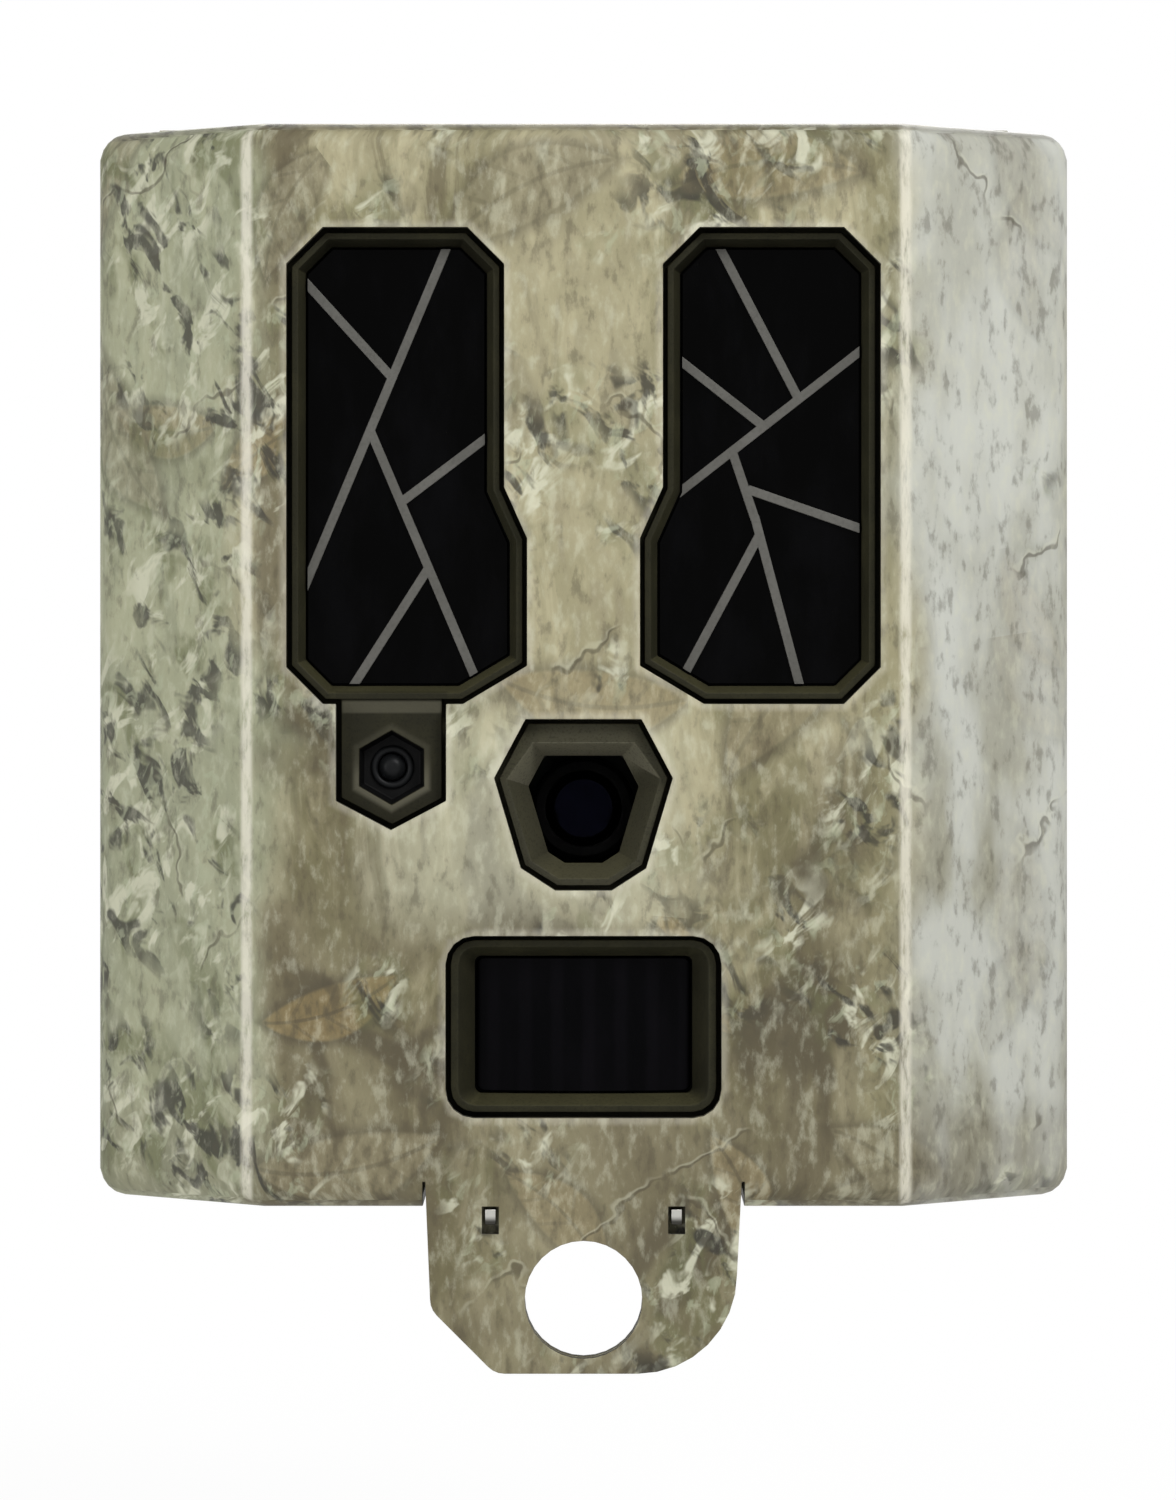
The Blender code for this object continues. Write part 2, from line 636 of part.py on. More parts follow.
def door_knuckle(index, wall_range):
    """Knuckle on the camera's left side with its leaf, along Z."""
    low = CASE_MIDDLE + (index - 1.5) * DOOR_KNUCKLE_LENGTH + RUNNING / 2
    high = low + DOOR_KNUCKLE_LENGTH - RUNNING
    barrel = slab("knuckle", circle(DOOR_KNUCKLE, (DOOR_AXIS_X, DOOR_AXIS_DEPTH), 20), low, high, "top")
    leaf = block("leaf", (DOOR_AXIS_X, -CASE_WIDTH / 2 + WALL / 2), wall_range, (low, high))
    return unite(barrel, leaf)


def door_bore():
    reach = 1.5 * DOOR_KNUCKLE_LENGTH + RUNNING
    outline = circle(DOOR_PIN_RADIUS + RUNNING, (DOOR_AXIS_X, DOOR_AXIS_DEPTH), 16)
    return slab("door_bore", outline, CASE_MIDDLE - reach, CASE_MIDDLE + reach, "top")


def latch_lugs(height):
    """Two lugs with a hole for the latch's stubs."""
    outer = LATCH_X + LATCH_BARREL + RUNNING
    depth = (LATCH_DEPTH - LATCH_BARREL - RUNNING, LATCH_DEPTH + LATCH_BARREL + RUNNING)
    lugs = []
    for side in (-1, 1):
        near = side * (LATCH_WIDTH / 2 + RUNNING)
        z = sorted((height + near, height + near + side * LUG_WIDTH))
        lug = block("lug", (CASE_WIDTH / 2 - WALL / 2, outer), depth, z)
        hole = circle(LATCH_STUB + RUNNING, (LATCH_X, LATCH_DEPTH), 12)
        lugs.append(cut(lug, slab("stub_hole", hole, z[0] - RUNNING, z[1] + RUNNING, "top")))
    return lugs


def front_shell():
    shell = loft("front_shell", [
        (case_outline(), FRONT_EDGE),
        (case_outline(), CASE_FACE - CASE_EDGE),
        (case_outline(CASE_EDGE), CASE_FACE),
    ])
    cut(shell, slab("cavity", case_outline(WALL), FRONT_EDGE - RUNNING, FACE_BACK))
    leds = [led_outline(), mirrored(led_outline())]
    collar_root = CASE_FACE - WALL / 2
    for outline in leds + [lens_outline(), pir_outline()]:
        unite(shell, slab("collar", inset(outline, CUT_FIT), collar_root, CASE_FRONT))
    unite(shell, slab("shield", inset(shield_outline(), CUT_FIT), collar_root, CASE_FRONT - RUNNING))
    for outline in leds:
        cut(shell, funnel(outline, inset(outline, LED_RIM), PANE_FRONT))
    lens_throat = shifted(inset(lens_outline(), LENS_RIM), dv=-LENS_RIM_DROP)
    cut(shell, funnel(lens_outline(), lens_throat, collar_root, LENS_BROW))
    pir_throat = pir_outline(PIR_RIM_SIDE, PIR_RIM_TOP, PIR_CORNER - PIR_RIM_TOP)
    cut(shell, funnel(pir_outline(), pir_throat, PANE_FRONT))
    recess = [(hexagon(EYE_RECESS), CASE_FRONT), (hexagon(EYE_RECESS - LIP), CASE_FACE)]
    cut(shell, loft("eye_recess", recess))
    eye = circle(EYE_RADIUS + RUNNING, (-SHIELD_OFFSET, EYE_HEIGHT), 16)
    cut(shell, slab("eye_hole", eye, FACE_BACK - RUNNING, CASE_FRONT))
    for post in POSTS:
        peg = slab("post", circle(POST_RADIUS, post, 16), BOARD_FRONT + SEAT, FACE_BACK + WALL / 2)
        hole = slab("screw_hole", circle(SCREW_RADIUS + SEAT, post, 12), BOARD_FRONT, FACE_BACK - WALL)
        unite(shell, cut(peg, hole))
    for index in (0, 2):
        unite(shell, door_knuckle(index, (FRONT_EDGE, DOOR_AXIS_DEPTH + DOOR_KNUCKLE)))
    cut(shell, door_bore())
    for side in (-1, 1):
        unite(shell, *latch_lugs(CASE_MIDDLE + side * LATCH_RISE))
    return paint(shell, CASE_OLIVE, 0.6)


def rear_shell():
    shell = loft("rear_shell", [
        (case_outline(CASE_EDGE), REAR_WALL),
        (case_outline(), REAR_WALL + CASE_EDGE),
        (case_outline(), REAR_EDGE),
    ])
    cut(shell, slab("cavity", case_outline(WALL), REAR_WALL + WALL, REAR_EDGE + RUNNING))
    into_wall = REAR_WALL + WALL / 2
    for side in (-1, 1):
        middle = side * RAIL_SPREAD
        x = (middle - RAIL_WIDTH / 2, middle + RAIL_WIDTH / 2)
        rail = block("rail", x, (CASE_BACK, into_wall),
                     (CASE_MIDDLE - RAIL_LENGTH / 2, CASE_MIDDLE + RAIL_LENGTH / 2))
        slot_front = REAR_WALL - WALL
        strap_way = block("strap_way", (x[0] - WALL, x[1] + WALL), (slot_front - RAIL_SLOT_WIDTH, slot_front),
                          (CASE_MIDDLE - RAIL_SLOT / 2, CASE_MIDDLE + RAIL_SLOT / 2))
        unite(shell, cut(rail, strap_way))
    boss_at = (0, CASE_FLOOR + TRIPOD_RISE)
    unite(shell, slab("boss", circle(TRIPOD_BOSS, boss_at), CASE_BACK + TRIPOD_SETBACK, into_wall))
    cut(shell, slab("insert_hole", circle(TRIPOD_INSERT + SEAT, boss_at), CASE_BACK, REAR_WALL))
    unite(shell, door_knuckle(1, (DOOR_AXIS_DEPTH - DOOR_KNUCKLE, REAR_EDGE)))
    cut(shell, door_bore())
    catch_front = LATCH_DEPTH - LATCH_REACH + LATCH_BAR + RUNNING + CATCH_WIDTH
    for side in (-1, 1):
        middle = CASE_MIDDLE + side * LATCH_RISE
        unite(shell, block("catch", (CASE_WIDTH / 2 - WALL / 2, CASE_WIDTH / 2 + CATCH_HEIGHT),
                           (catch_front - CATCH_WIDTH, catch_front),
                           (middle - LATCH_WIDTH / 2, middle + LATCH_WIDTH / 2)))
    return paint(shell, CASE_OLIVE, 0.6)


def door_seal():
    seal = slab("door_seal", case_outline(SEAT), REAR_EDGE + SEAT, FRONT_EDGE - SEAT)
    cut(seal, slab("inside", case_outline(WALL - SEAT), REAR_EDGE, FRONT_EDGE))
    return paint(seal, BLACK, 0.8)


def door_pin():
    reach = 1.5 * DOOR_KNUCKLE_LENGTH
    outline = circle(DOOR_PIN_RADIUS, (DOOR_AXIS_X, DOOR_AXIS_DEPTH), 16)
    return paint(slab("door_pin", outline, CASE_MIDDLE - reach, CASE_MIDDLE + reach, "top"), STEEL, 0.35, 1.0)


def latch(name, side):
    """Lever with stubs at its pivot, a hook behind the catch and a lip for the finger."""
    middle = CASE_MIDDLE + side * LATCH_RISE
    low, high = middle - LATCH_WIDTH / 2, middle + LATCH_WIDTH / 2
    end = LATCH_DEPTH - LATCH_REACH
    bar_in = CASE_WIDTH / 2 + CATCH_HEIGHT + RUNNING
    bar_out = LATCH_X + LATCH_BARREL
    hook_in = CASE_WIDTH / 2 + RUNNING
    profile = [
        (hook_in, end), (bar_out + LATCH_BAR / 2, end), (bar_out, end + LATCH_BAR),
        (bar_out, LATCH_DEPTH), (bar_in, LATCH_DEPTH), (bar_in, end + LATCH_BAR), (hook_in, end + LATCH_BAR),
    ]
    lever = slab(name, profile, low, high, "top")
    unite(lever, slab("barrel", circle(LATCH_BARREL, (LATCH_X, LATCH_DEPTH), 16), low, high, "top"))
    stub = circle(LATCH_STUB, (LATCH_X, LATCH_DEPTH), 12)
    unite(lever, slab("stubs", stub, low - LUG_WIDTH, high + LUG_WIDTH, "top"))
    place_origin(lever, Vector((LATCH_X, -LATCH_DEPTH, middle)))
    return paint(lever, BLACK, 0.5)


def ribs(outline, lines):
    """Raised ribs on an LED pane, between points given as shares of the cut-out's width and height."""
    left = min(u for u, _ in outline)
    width = max(u for u, _ in outline) - left
    bars = []
    for start, end in lines:
        a = Vector((left + start[0] * width, LED_TOP - start[1] * LED_HEIGHT))
        b = Vector((left + end[0] * width, LED_TOP - end[1] * LED_HEIGHT))
        along = (b - a).normalized()
        across = Vector((-along.y, along.x)) * RIB_WIDTH / 2
        corners = [tuple(a - across), tuple(b - across), tuple(b + across), tuple(a + across)]
        bars.append(slab("rib", corners, PANE_FRONT - RIB_HEIGHT, PANE_FRONT + RIB_HEIGHT))
    return bars


LEFT_RIBS = [
    ((0.664, 0.05), (0.079, 0.738)),
    ((0.071, 0.108), (0.427, 0.291)),
    ((0.367, 0.443), (0.788, 0.94)),
    ((0.813, 0.449), (0.51, 0.563)),
    ((0.56, 0.732), (0.286, 0.967)),
]
RIGHT_RIBS = [
    ((0.324, 0.058), (0.635, 0.351)),
    ((0.951, 0.248), (0.209, 0.537)),
    ((0.209, 0.295), (0.512, 0.412)),
    ((0.389, 0.485), (0.672, 0.965)),
    ((0.5, 0.551), (0.934, 0.626)),
    ((0.471, 0.661), (0.209, 0.917)),
]


def led_window(name, outline, lines):
    """Flanged dark pane with raised ribs in front and two pegs behind for the LED board."""
    plug = inset(outline, LED_RIM + SEAT)
    flange = inset(outline, LED_RIM - PANE_FLANGE)
    back = FACE_BACK - SEAT - PANE_FLANGE
    pane = slab(name, plug, back, PANE_FRONT)
    unite(pane, slab("flange", flange, back, FACE_BACK - SEAT))
    rib_reach = inset(outline, LED_RIM + SEAT + RIB_END)
    for bar in ribs(outline, lines):
        trim = slab("trim", rib_reach, PANE_FRONT - RIB_HEIGHT / 2, PANE_FRONT + 2 * RIB_HEIGHT)
        unite(pane, combine(bar, "INTERSECT", [trim]))
    for peg in pegs(outline):
        unite(pane, slab("peg", circle(PEG_RADIUS, peg, 12), led_board_front() + SEAT, back + SEAT))
    return paint(pane, BLACK, 0.15)


def pegs(outline):
    """Peg centres near the top and the bottom of an LED window."""
    middle = (min(u for u, _ in outline) + max(u for u, _ in outline)) / 2
    margin = LED_RIM + 2 * PEG_RADIUS
    return [(middle, LED_TOP - margin), (middle, LED_FLOOR + margin)]


def led_board_front():
    return FACE_BACK - SEAT - PANE_FLANGE - LED_AIR - LED_BODY


def led_board(name, outline):
    """Board with rows of infrared emitters."""
    front = led_board_front()
    board = slab(name, inset(outline, LED_RIM), front - BOARD, front)
    middle = (min(u for u, _ in outline) + max(u for u, _ in outline)) / 2
    pitch = LED_WIDTH / 4
    rows = int((LED_HEIGHT - 2 * (LED_RIM + 4 * PEG_RADIUS)) / pitch)
    for row in range(rows):
        height = LED_FLOOR + LED_HEIGHT / 2 + (row - (rows - 1) / 2) * pitch
        for column in (-0.5, 0.5):
            at = (middle + column * 2 * pitch, height)
            unite(board, loft("emitter", [
                (circle(LED_RADIUS, at, 10), front - BOARD / 2),
                (circle(LED_RADIUS, at, 10), front + LED_BODY - LED_RADIUS),
                (circle(LED_RADIUS / 2, at, 10), front + LED_BODY),
            ]))
    return paint(board, BOARD_GREEN, 0.5)


def turned(name, centre, profile, sides=24):
    """A round piece along the depth, from pairs of radius and depth."""
    return loft(name, [(circle(radius, centre, sides), depth) for radius, depth in profile])


def lens_window():
    disc = turned("lens_window", (0, LENS_AXIS), [
        (LENS_PANE_RADIUS, FACE_BACK - SEAT - LENS_PANE),
        (LENS_PANE_RADIUS, FACE_BACK - SEAT),
    ], 32)
    return paint(disc, BLACK, 0.05)


def lens_barrel():
    head_back = HOLDER_FRONT + SEAT
    tip = FILTER_FRONT + SEAT + FILTER_WEB + SEAT
    barrel = turned("lens_barrel", (0, LENS_AXIS), [
        (SHANK_RADIUS, tip), (SHANK_RADIUS, head_back), (BARREL_RADIUS, head_back),
        (BARREL_RADIUS, BARREL_FRONT - LIP), (BARREL_RADIUS - LIP, BARREL_FRONT),
    ])
    narrow, wide = LIGHT_BORE - GLASS_SHOULDER, LIGHT_BORE + SEAT
    cut(barrel, turned("bore", (0, LENS_AXIS), [
        (narrow, tip - RUNNING), (narrow, GLASS_BACK - SEAT),
        (wide, GLASS_BACK - SEAT), (wide, BARREL_FRONT + RUNNING),
    ]))
    return paint(barrel, BLACK, 0.4)


def lens_glass():
    """Front element, domed and seated on the shoulder in the barrel."""
    profile = [(LIGHT_BORE, GLASS_BACK)] + dome(LIGHT_BORE, GLASS_BACK + GLASS_EDGE, GLASS_RISE)
    glass = turned("lens_glass", (0, LENS_AXIS), profile)
    return paint(glass, (0.02, 0.03, 0.05), 0.03)


def lens_holder():
    half = HOLDER_WIDTH / 2
    z = (LENS_AXIS - HOLDER_HEIGHT / 2, LENS_AXIS + HOLDER_HEIGHT / 2)
    holder = block("lens_holder", (-half, half), (HOLDER_BACK, HOLDER_FRONT), z)
    shank = SHANK_RADIUS + SEAT
    floor = FILTER_FRONT + SEAT + FILTER_WEB
    cut(holder, turned("bore", (0, LENS_AXIS), [
        (LIGHT_BORE, HOLDER_BACK - RUNNING), (LIGHT_BORE, floor),
        (shank, floor), (shank, HOLDER_FRONT + RUNNING),
    ]))
    reach = (FILTER_WIDTH + FILTER_TRAVEL) / 2 + RUNNING
    cut(holder, block("slot", (-reach, reach), (FILTER_BACK - SEAT, FILTER_FRONT + SEAT),
                      (LENS_AXIS - FILTER_HEIGHT / 2 - SEAT, z[1] + RUNNING)))
    return paint(holder, BLACK, 0.5)


def ir_cut_filter():
    """Sliding plate: a clear half for night and an infrared-blocking half for day."""
    middle = -FILTER_TRAVEL / 2
    x = (middle - FILTER_WIDTH / 2, middle + FILTER_WIDTH / 2)
    z = (LENS_AXIS - FILTER_HEIGHT / 2, LENS_AXIS + FILTER_HEIGHT / 2)
    plate = block("ir_cut_filter", x, (FILTER_BACK, FILTER_FRONT), z)
    place_origin(plate, Vector((middle, -FILTER_BACK, LENS_AXIS)))
    return paint(plate, (0.1, 0.3, 0.35), 0.1)


def sensor_board():
    half, chip = SENSOR_BOARD_WIDTH / 2, SENSOR_CHIP / 2
    back = SENSOR_FRONT - SENSOR_BOARD
    board = block("sensor_board", (-half, half), (back, SENSOR_FRONT), (LENS_AXIS - half, LENS_AXIS + half))
    unite(board, block("chip", (-chip, chip), (back + SEAT, HOLDER_BACK + FILTER_WEB / 2),
                       (LENS_AXIS - chip, LENS_AXIS + chip)))
    return paint(board, BOARD_GREEN, 0.5)


def pir_window():
    """Motion-sensor pane, curved from side to side."""
    back = FACE_BACK - SEAT - PANE_FLANGE
    corner = PIR_CORNER - PIR_RIM_TOP
    half = PIR_WIDTH / 2 - PIR_RIM_SIDE
    radius = (half ** 2 + PIR_CROWN ** 2) / (2 * PIR_CROWN)
    sweep = math.degrees(math.asin(half / radius))
    front = arc((0, PANE_FRONT - radius), radius, 90 - sweep, 90 + sweep, 12)
    profile = [(-half, back), (half, back)] + front
    reach = PIR_HEIGHT / 2
    pane = slab("pir_window", profile, PIR_MIDDLE - reach, PIR_MIDDLE + reach, "top")
    plug = pir_outline(PIR_RIM_SIDE + SEAT, PIR_RIM_TOP + SEAT, corner)
    combine(pane, "INTERSECT", [slab("plug", plug, back - SEAT, PANE_FRONT + SEAT)])
    flange = pir_outline(PIR_RIM_SIDE - PANE_FLANGE, PIR_RIM_TOP - PANE_FLANGE, corner)
    unite(pane, slab("flange", flange, back, FACE_BACK - SEAT))
    return paint(pane, BLACK, 0.25)


def pir_sensor():
    base = BOARD_FRONT + SEAT
    can = turned("pir_sensor", (0, PIR_MIDDLE), [
        (PIR_SENSOR_RADIUS, base), (PIR_SENSOR_RADIUS, base + LIP), (PIR_SENSOR_RADIUS - LIP, base + LIP),
        (PIR_SENSOR_RADIUS - LIP, base + PIR_SENSOR_HEIGHT),
    ], 20)
    return paint(can, STEEL, 0.3, 1.0)


def light_sensor():
    """Domed light sensor in its hexagonal recess."""
    back = FACE_BACK - SEAT - PANE_FLANGE
    flange = [(EYE_FLANGE, back), (EYE_FLANGE, FACE_BACK - SEAT), (EYE_RADIUS, FACE_BACK - SEAT)]
    profile = flange + dome(EYE_RADIUS, CASE_FACE, EYE_RISE)
    eye = turned("light_sensor", (-SHIELD_OFFSET, EYE_HEIGHT), profile, 16)
    return paint(eye, (0.08, 0.08, 0.08), 0.2)


def main_board():
    margin = WALL + BOARD_MARGIN
    board = slab("main_board", case_outline(margin), BOARD_BACK, BOARD_FRONT)
    for post in POSTS:
        hole = circle(SCREW_RADIUS + SEAT, post, 12)
        cut(board, slab("screw_hole", hole, BOARD_BACK - RUNNING, BOARD_FRONT + RUNNING))
    return paint(board, BOARD_GREEN, 0.5)


def button_places():
    return {
        "button_up": (0, BUTTON_MIDDLE + BUTTON_PITCH), "button_down": (0, BUTTON_MIDDLE - BUTTON_PITCH),
        "button_left": (-BUTTON_PITCH, BUTTON_MIDDLE), "button_right": (BUTTON_PITCH, BUTTON_MIDDLE),
        "button_ok": (0, BUTTON_MIDDLE),
    }


def keypad_sheet():
    half = BUTTON_PITCH + BUTTON_RADIUS + BUTTON_FLANGE
    outline = rounded(2 * half, 2 * half, BUTTON_RADIUS, (0, BUTTON_MIDDLE))
    sheet = slab("keypad_sheet", outline, BOARD_BACK - SEAT - KEYPAD, BOARD_BACK - SEAT)
    return paint(sheet, (0.1, 0.1, 0.1), 0.8)


def display():
    middle = CASE_MIDDLE + DISPLAY_RISE
    half, rise = DISPLAY_WIDTH / 2, DISPLAY_HEIGHT / 2
    back = PANEL_FRONT + SEAT
    screen = block("display", (-half, half), (back, back + DISPLAY_THICKNESS), (middle - rise, middle + rise))
    return paint(screen, (0.02, 0.03, 0.04), 0.1)


def switch_place():
    return -SWITCH_OFFSET, BUTTON_MIDDLE


def control_panel():
    panel = slab("control_panel", case_outline(WALL + PANEL_MARGIN), PANEL_BACK, PANEL_FRONT)
    through = (PANEL_BACK - RUNNING, PANEL_FRONT + RUNNING)
    screen = rounded(DISPLAY_WIDTH - 2 * DISPLAY_FRAME, DISPLAY_HEIGHT - 2 * DISPLAY_FRAME, LIP,
                     (0, CASE_MIDDLE + DISPLAY_RISE), 2)
    x, z = switch_place()
    switch_reach = SWITCH_WIDTH + 2 * (SWITCH_TRAVEL + RUNNING)
    switch_way = rounded(switch_reach, SWITCH_HEIGHT + 2 * RUNNING, RUNNING, (x, z), 1)
    card_end = CARD_OFFSET + CARD_LENGTH / 2
    card_way = rectangle(card_end - CARD_PROUD - SLOT_WALL, CARD_MIDDLE - CARD_HEIGHT / 2,
                         card_end + CARD_TRAVEL + CARD_PROUD, CARD_MIDDLE + CARD_HEIGHT / 2)
    cut(panel, *[slab("opening", outline, *through) for outline in (screen, switch_way, card_way)])
    for place in button_places().values():
        cut(panel, slab("button_hole", circle(BUTTON_RADIUS + RUNNING, place, 16), *through))
    for post in POSTS:
        unite(panel, slab("boss", circle(POST_RADIUS, post, 16), PANEL_FRONT - PANEL / 2, BOARD_BACK - SEAT))
        hole = circle(SCREW_RADIUS + SEAT, post, 12)
        cut(panel, slab("screw_hole", hole, PANEL_BACK - RUNNING, BOARD_BACK))
    return paint(panel, (0.03, 0.03, 0.03), 0.5)


def panel_screw(name, place):
    seat = PANEL_BACK - SEAT
    screw = turned(name, place, [
        (SCREW_HEAD, seat - SCREW_HEAD_HEIGHT), (SCREW_HEAD, seat), (SCREW_RADIUS, seat),
        (SCREW_RADIUS, seat + SCREW_LENGTH),
    ], 12)
    return paint(screw, STEEL, 0.35, 1.0)


def button(name, place):
    seat = PANEL_FRONT + SEAT
    face = PANEL_BACK - BUTTON_PROUD
    reach = BUTTON_RADIUS + BUTTON_FLANGE
    cap = turned(name, place, [
        (BUTTON_RADIUS - LIP, face), (BUTTON_RADIUS, face + LIP), (BUTTON_RADIUS, seat), (reach, seat),
        (reach, seat + BUTTON_FLANGE_HEIGHT),
    ], 16)
    place_origin(cap, Vector((place[0], -face, place[1])))
    return paint(cap, (0.08, 0.08, 0.08), 0.6)


def power_switch():
    x, z = switch_place()
    seat = PANEL_FRONT + SEAT
    half, rise = SWITCH_WIDTH / 2, SWITCH_HEIGHT / 2
    knob = block("power_switch", (x - half, x + half), (PANEL_BACK - BUTTON_PROUD, seat + LIP),
                 (z - rise, z + rise))
    reach = half + SWITCH_TRAVEL + RUNNING + SWITCH_FLANGE
    unite(knob, block("flange", (x - reach, x + reach), (seat, seat + BUTTON_FLANGE_HEIGHT),
                      (z - rise - SWITCH_FLANGE, z + rise + SWITCH_FLANGE)))
    place_origin(knob, Vector((x, -seat, z)))
    return paint(knob, (0.08, 0.08, 0.08), 0.5)


def card_range(spare=0.0):
    """Ranges of the memory card in X, depth and Z, with a spare added on every side."""
    x = (CARD_OFFSET - CARD_LENGTH / 2 - spare, CARD_OFFSET + CARD_LENGTH / 2 + spare)
    z = (CARD_MIDDLE - CARD_HEIGHT / 2 - spare, CARD_MIDDLE + CARD_HEIGHT / 2 + spare)
    return x, (CARD_BACK - spare, CARD_BACK + CARD_THICKNESS + spare), z


def card_slot():
    x, depth, z = card_range(SEAT + SLOT_WALL)
    mouth = CARD_OFFSET + CARD_LENGTH / 2 - CARD_PROUD
    slot = block("card_slot", (x[0], mouth), depth, z)
    cut(slot, block("pocket", *card_range(SEAT)))
    return paint(slot, STEEL, 0.4, 1.0)


def memory_card():
    x, depth, z = card_range()
    card = block("memory_card", x, depth, z)
    place_origin(card, Vector((x[0], -depth[0], CARD_MIDDLE)))
    return paint(card, (0.02, 0.02, 0.03), 0.5)


def battery_tray():
    rise, half, wall = CELL_TRAY_RISE, CELL_TRAY_HALF, CELL_TRAY_WALL
    tray = block("battery_tray", (-half, half), (CELL_TRAY_BACK, CELL_TRAY_FRONT),
                 (CASE_MIDDLE - rise, CASE_MIDDLE + rise))
    for side in (-1, 1):
        z = sorted((CASE_MIDDLE + side * wall / 2, CASE_MIDDLE + side * (rise - wall)))
        cut(tray, block("bay", (wall - half, half - wall),
                        (CELL_TRAY_BACK + CELL_TRAY_FLOOR, CELL_TRAY_FRONT + RUNNING), z))
    return paint(tray, (0.03, 0.03, 0.03), 0.6)


def battery(name, column, side, flipped):
    """One cell, standing on the divider or hanging below it, with its nub at either end."""
    near = CASE_MIDDLE + side * (CELL_TRAY_WALL / 2 + SEAT)
    far = near + side * CELL_LENGTH
    base, tip = (far, near) if flipped else (near, far)
    shoulder = tip - math.copysign(CELL_NUB_HEIGHT, tip - base)
    centre = ((column - (CELL_COLUMNS - 1) / 2) * CELL_PITCH, CELL_DEPTH)
    rings = [(CELL_RADIUS, base), (CELL_RADIUS, shoulder), (CELL_NUB, shoulder), (CELL_NUB, tip)]
    cell = loft(name, [(circle(radius, centre, 16), height) for radius, height in rings], "top")
    return paint(cell, (0.15, 0.13, 0.1), 0.3)


def contact_strip(name, side):
    half = CELL_TRAY_HALF - CELL_TRAY_WALL - SEAT
    inner = CASE_MIDDLE + side * CONTACT_INNER
    z = sorted((inner, inner + side * CONTACT))
    strip = block(name, (-half, half), (CELL_TRAY_BACK + CELL_TRAY_FLOOR + SEAT, CELL_TRAY_FRONT - LIP), z)
    return paint(strip, STEEL, 0.3, 1.0)


def tripod_insert():
    centre = (0, CASE_FLOOR + TRIPOD_RISE)
    start = CASE_BACK + TRIPOD_SETBACK
    insert = turned("tripod_insert", centre, [(TRIPOD_INSERT, start), (TRIPOD_INSERT, REAR_WALL - SEAT)])
    cut(insert, turned("bore", centre, [(TRIPOD_BORE, start - RUNNING), (TRIPOD_BORE, REAR_WALL + RUNNING)]))
    return paint(insert, (0.6, 0.45, 0.2), 0.35, 1.0)


def rear_pad(name, side):
    middle = side * RAIL_SPREAD
    start = SHEET + SEAT
    pad = block(name, (middle - RAIL_WIDTH / 2, middle + RAIL_WIDTH / 2), (start, start + REAR_PAD),
                (CASE_MIDDLE - REAR_PAD_LENGTH / 2, CASE_MIDDLE + REAR_PAD_LENGTH / 2))
    return paint(pad, BLACK, 0.9)


def floor_pad(name, side):
    middle = side * FLOOR_PAD_SPREAD
    centre = (REAR_WALL + REAR_EDGE) / 2
    low = TRAY_FLOOR + SHEET + SEAT
    pad = block(name, (middle - FLOOR_PAD_WIDTH / 2, middle + FLOOR_PAD_WIDTH / 2),
                (centre - FLOOR_PAD_LENGTH / 2, centre + FLOOR_PAD_LENGTH / 2), (low, low + FLOOR_PAD))
    return paint(pad, BLACK, 0.9)


def side_bracket(name, side):
    """Angle that keeps the camera in the middle of the tray."""
    inner = CASE_WIDTH / 2 + BRACKET_GAP
    base = SHEET + SEAT
    angle = [
        (inner, base), (inner + BRACKET_FOOT, base), (inner + BRACKET_FOOT, base + SHEET),
        (inner + SHEET, base + SHEET), (inner + SHEET, BRACKET_DEPTH), (inner, BRACKET_DEPTH),
    ]
    outline = angle if side > 0 else mirrored(angle)
    low = CASE_MIDDLE - BRACKET_LENGTH / 2
    return paint(slab(name, outline, low, low + BRACKET_LENGTH, "top"), CAMO, 0.6)


def main():
    clear_scene()
    box_cover()
    box_tray()
    hinge_pin()
    front_shell()
    rear_shell()
    door_seal()
    door_pin()
    led_window("led_window_left", mirrored(led_outline()), LEFT_RIBS)
    led_window("led_window_right", led_outline(), RIGHT_RIBS)
    led_board("led_board_left", mirrored(led_outline()))
    led_board("led_board_right", led_outline())
    lens_window()
    lens_barrel()
    lens_glass()
    lens_holder()
    ir_cut_filter()
    sensor_board()
    pir_window()
    pir_sensor()
    light_sensor()
    main_board()
    keypad_sheet()
    display()
    control_panel()
    for number, post in enumerate(POSTS, 1):
        panel_screw(f"panel_screw_{number}", post)
    for name, place in button_places().items():
        button(name, place)
    power_switch()
    card_slot()
    memory_card()
    battery_tray()
    for number in range(2 * CELL_COLUMNS):
        column, row = number % CELL_COLUMNS, number // CELL_COLUMNS
        battery(f"battery_{number + 1}", column, 1 - 2 * row, column % 2 == 1)
    tripod_insert()
    for side, word, height in ((-1, "left", "lower"), (1, "right", "upper")):
        rear_pad(f"rear_pad_{word}", side)
        floor_pad(f"floor_pad_{word}", side)
        side_bracket(f"side_bracket_{word}", side)
        latch(f"latch_{height}", side)
        contact_strip(f"contact_strip_{height}", side)


main()
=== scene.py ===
"""Finish of the trail camera in its sheet-steel lock box: camouflage coat, moulded casing, panes and lens."""

import json
import math

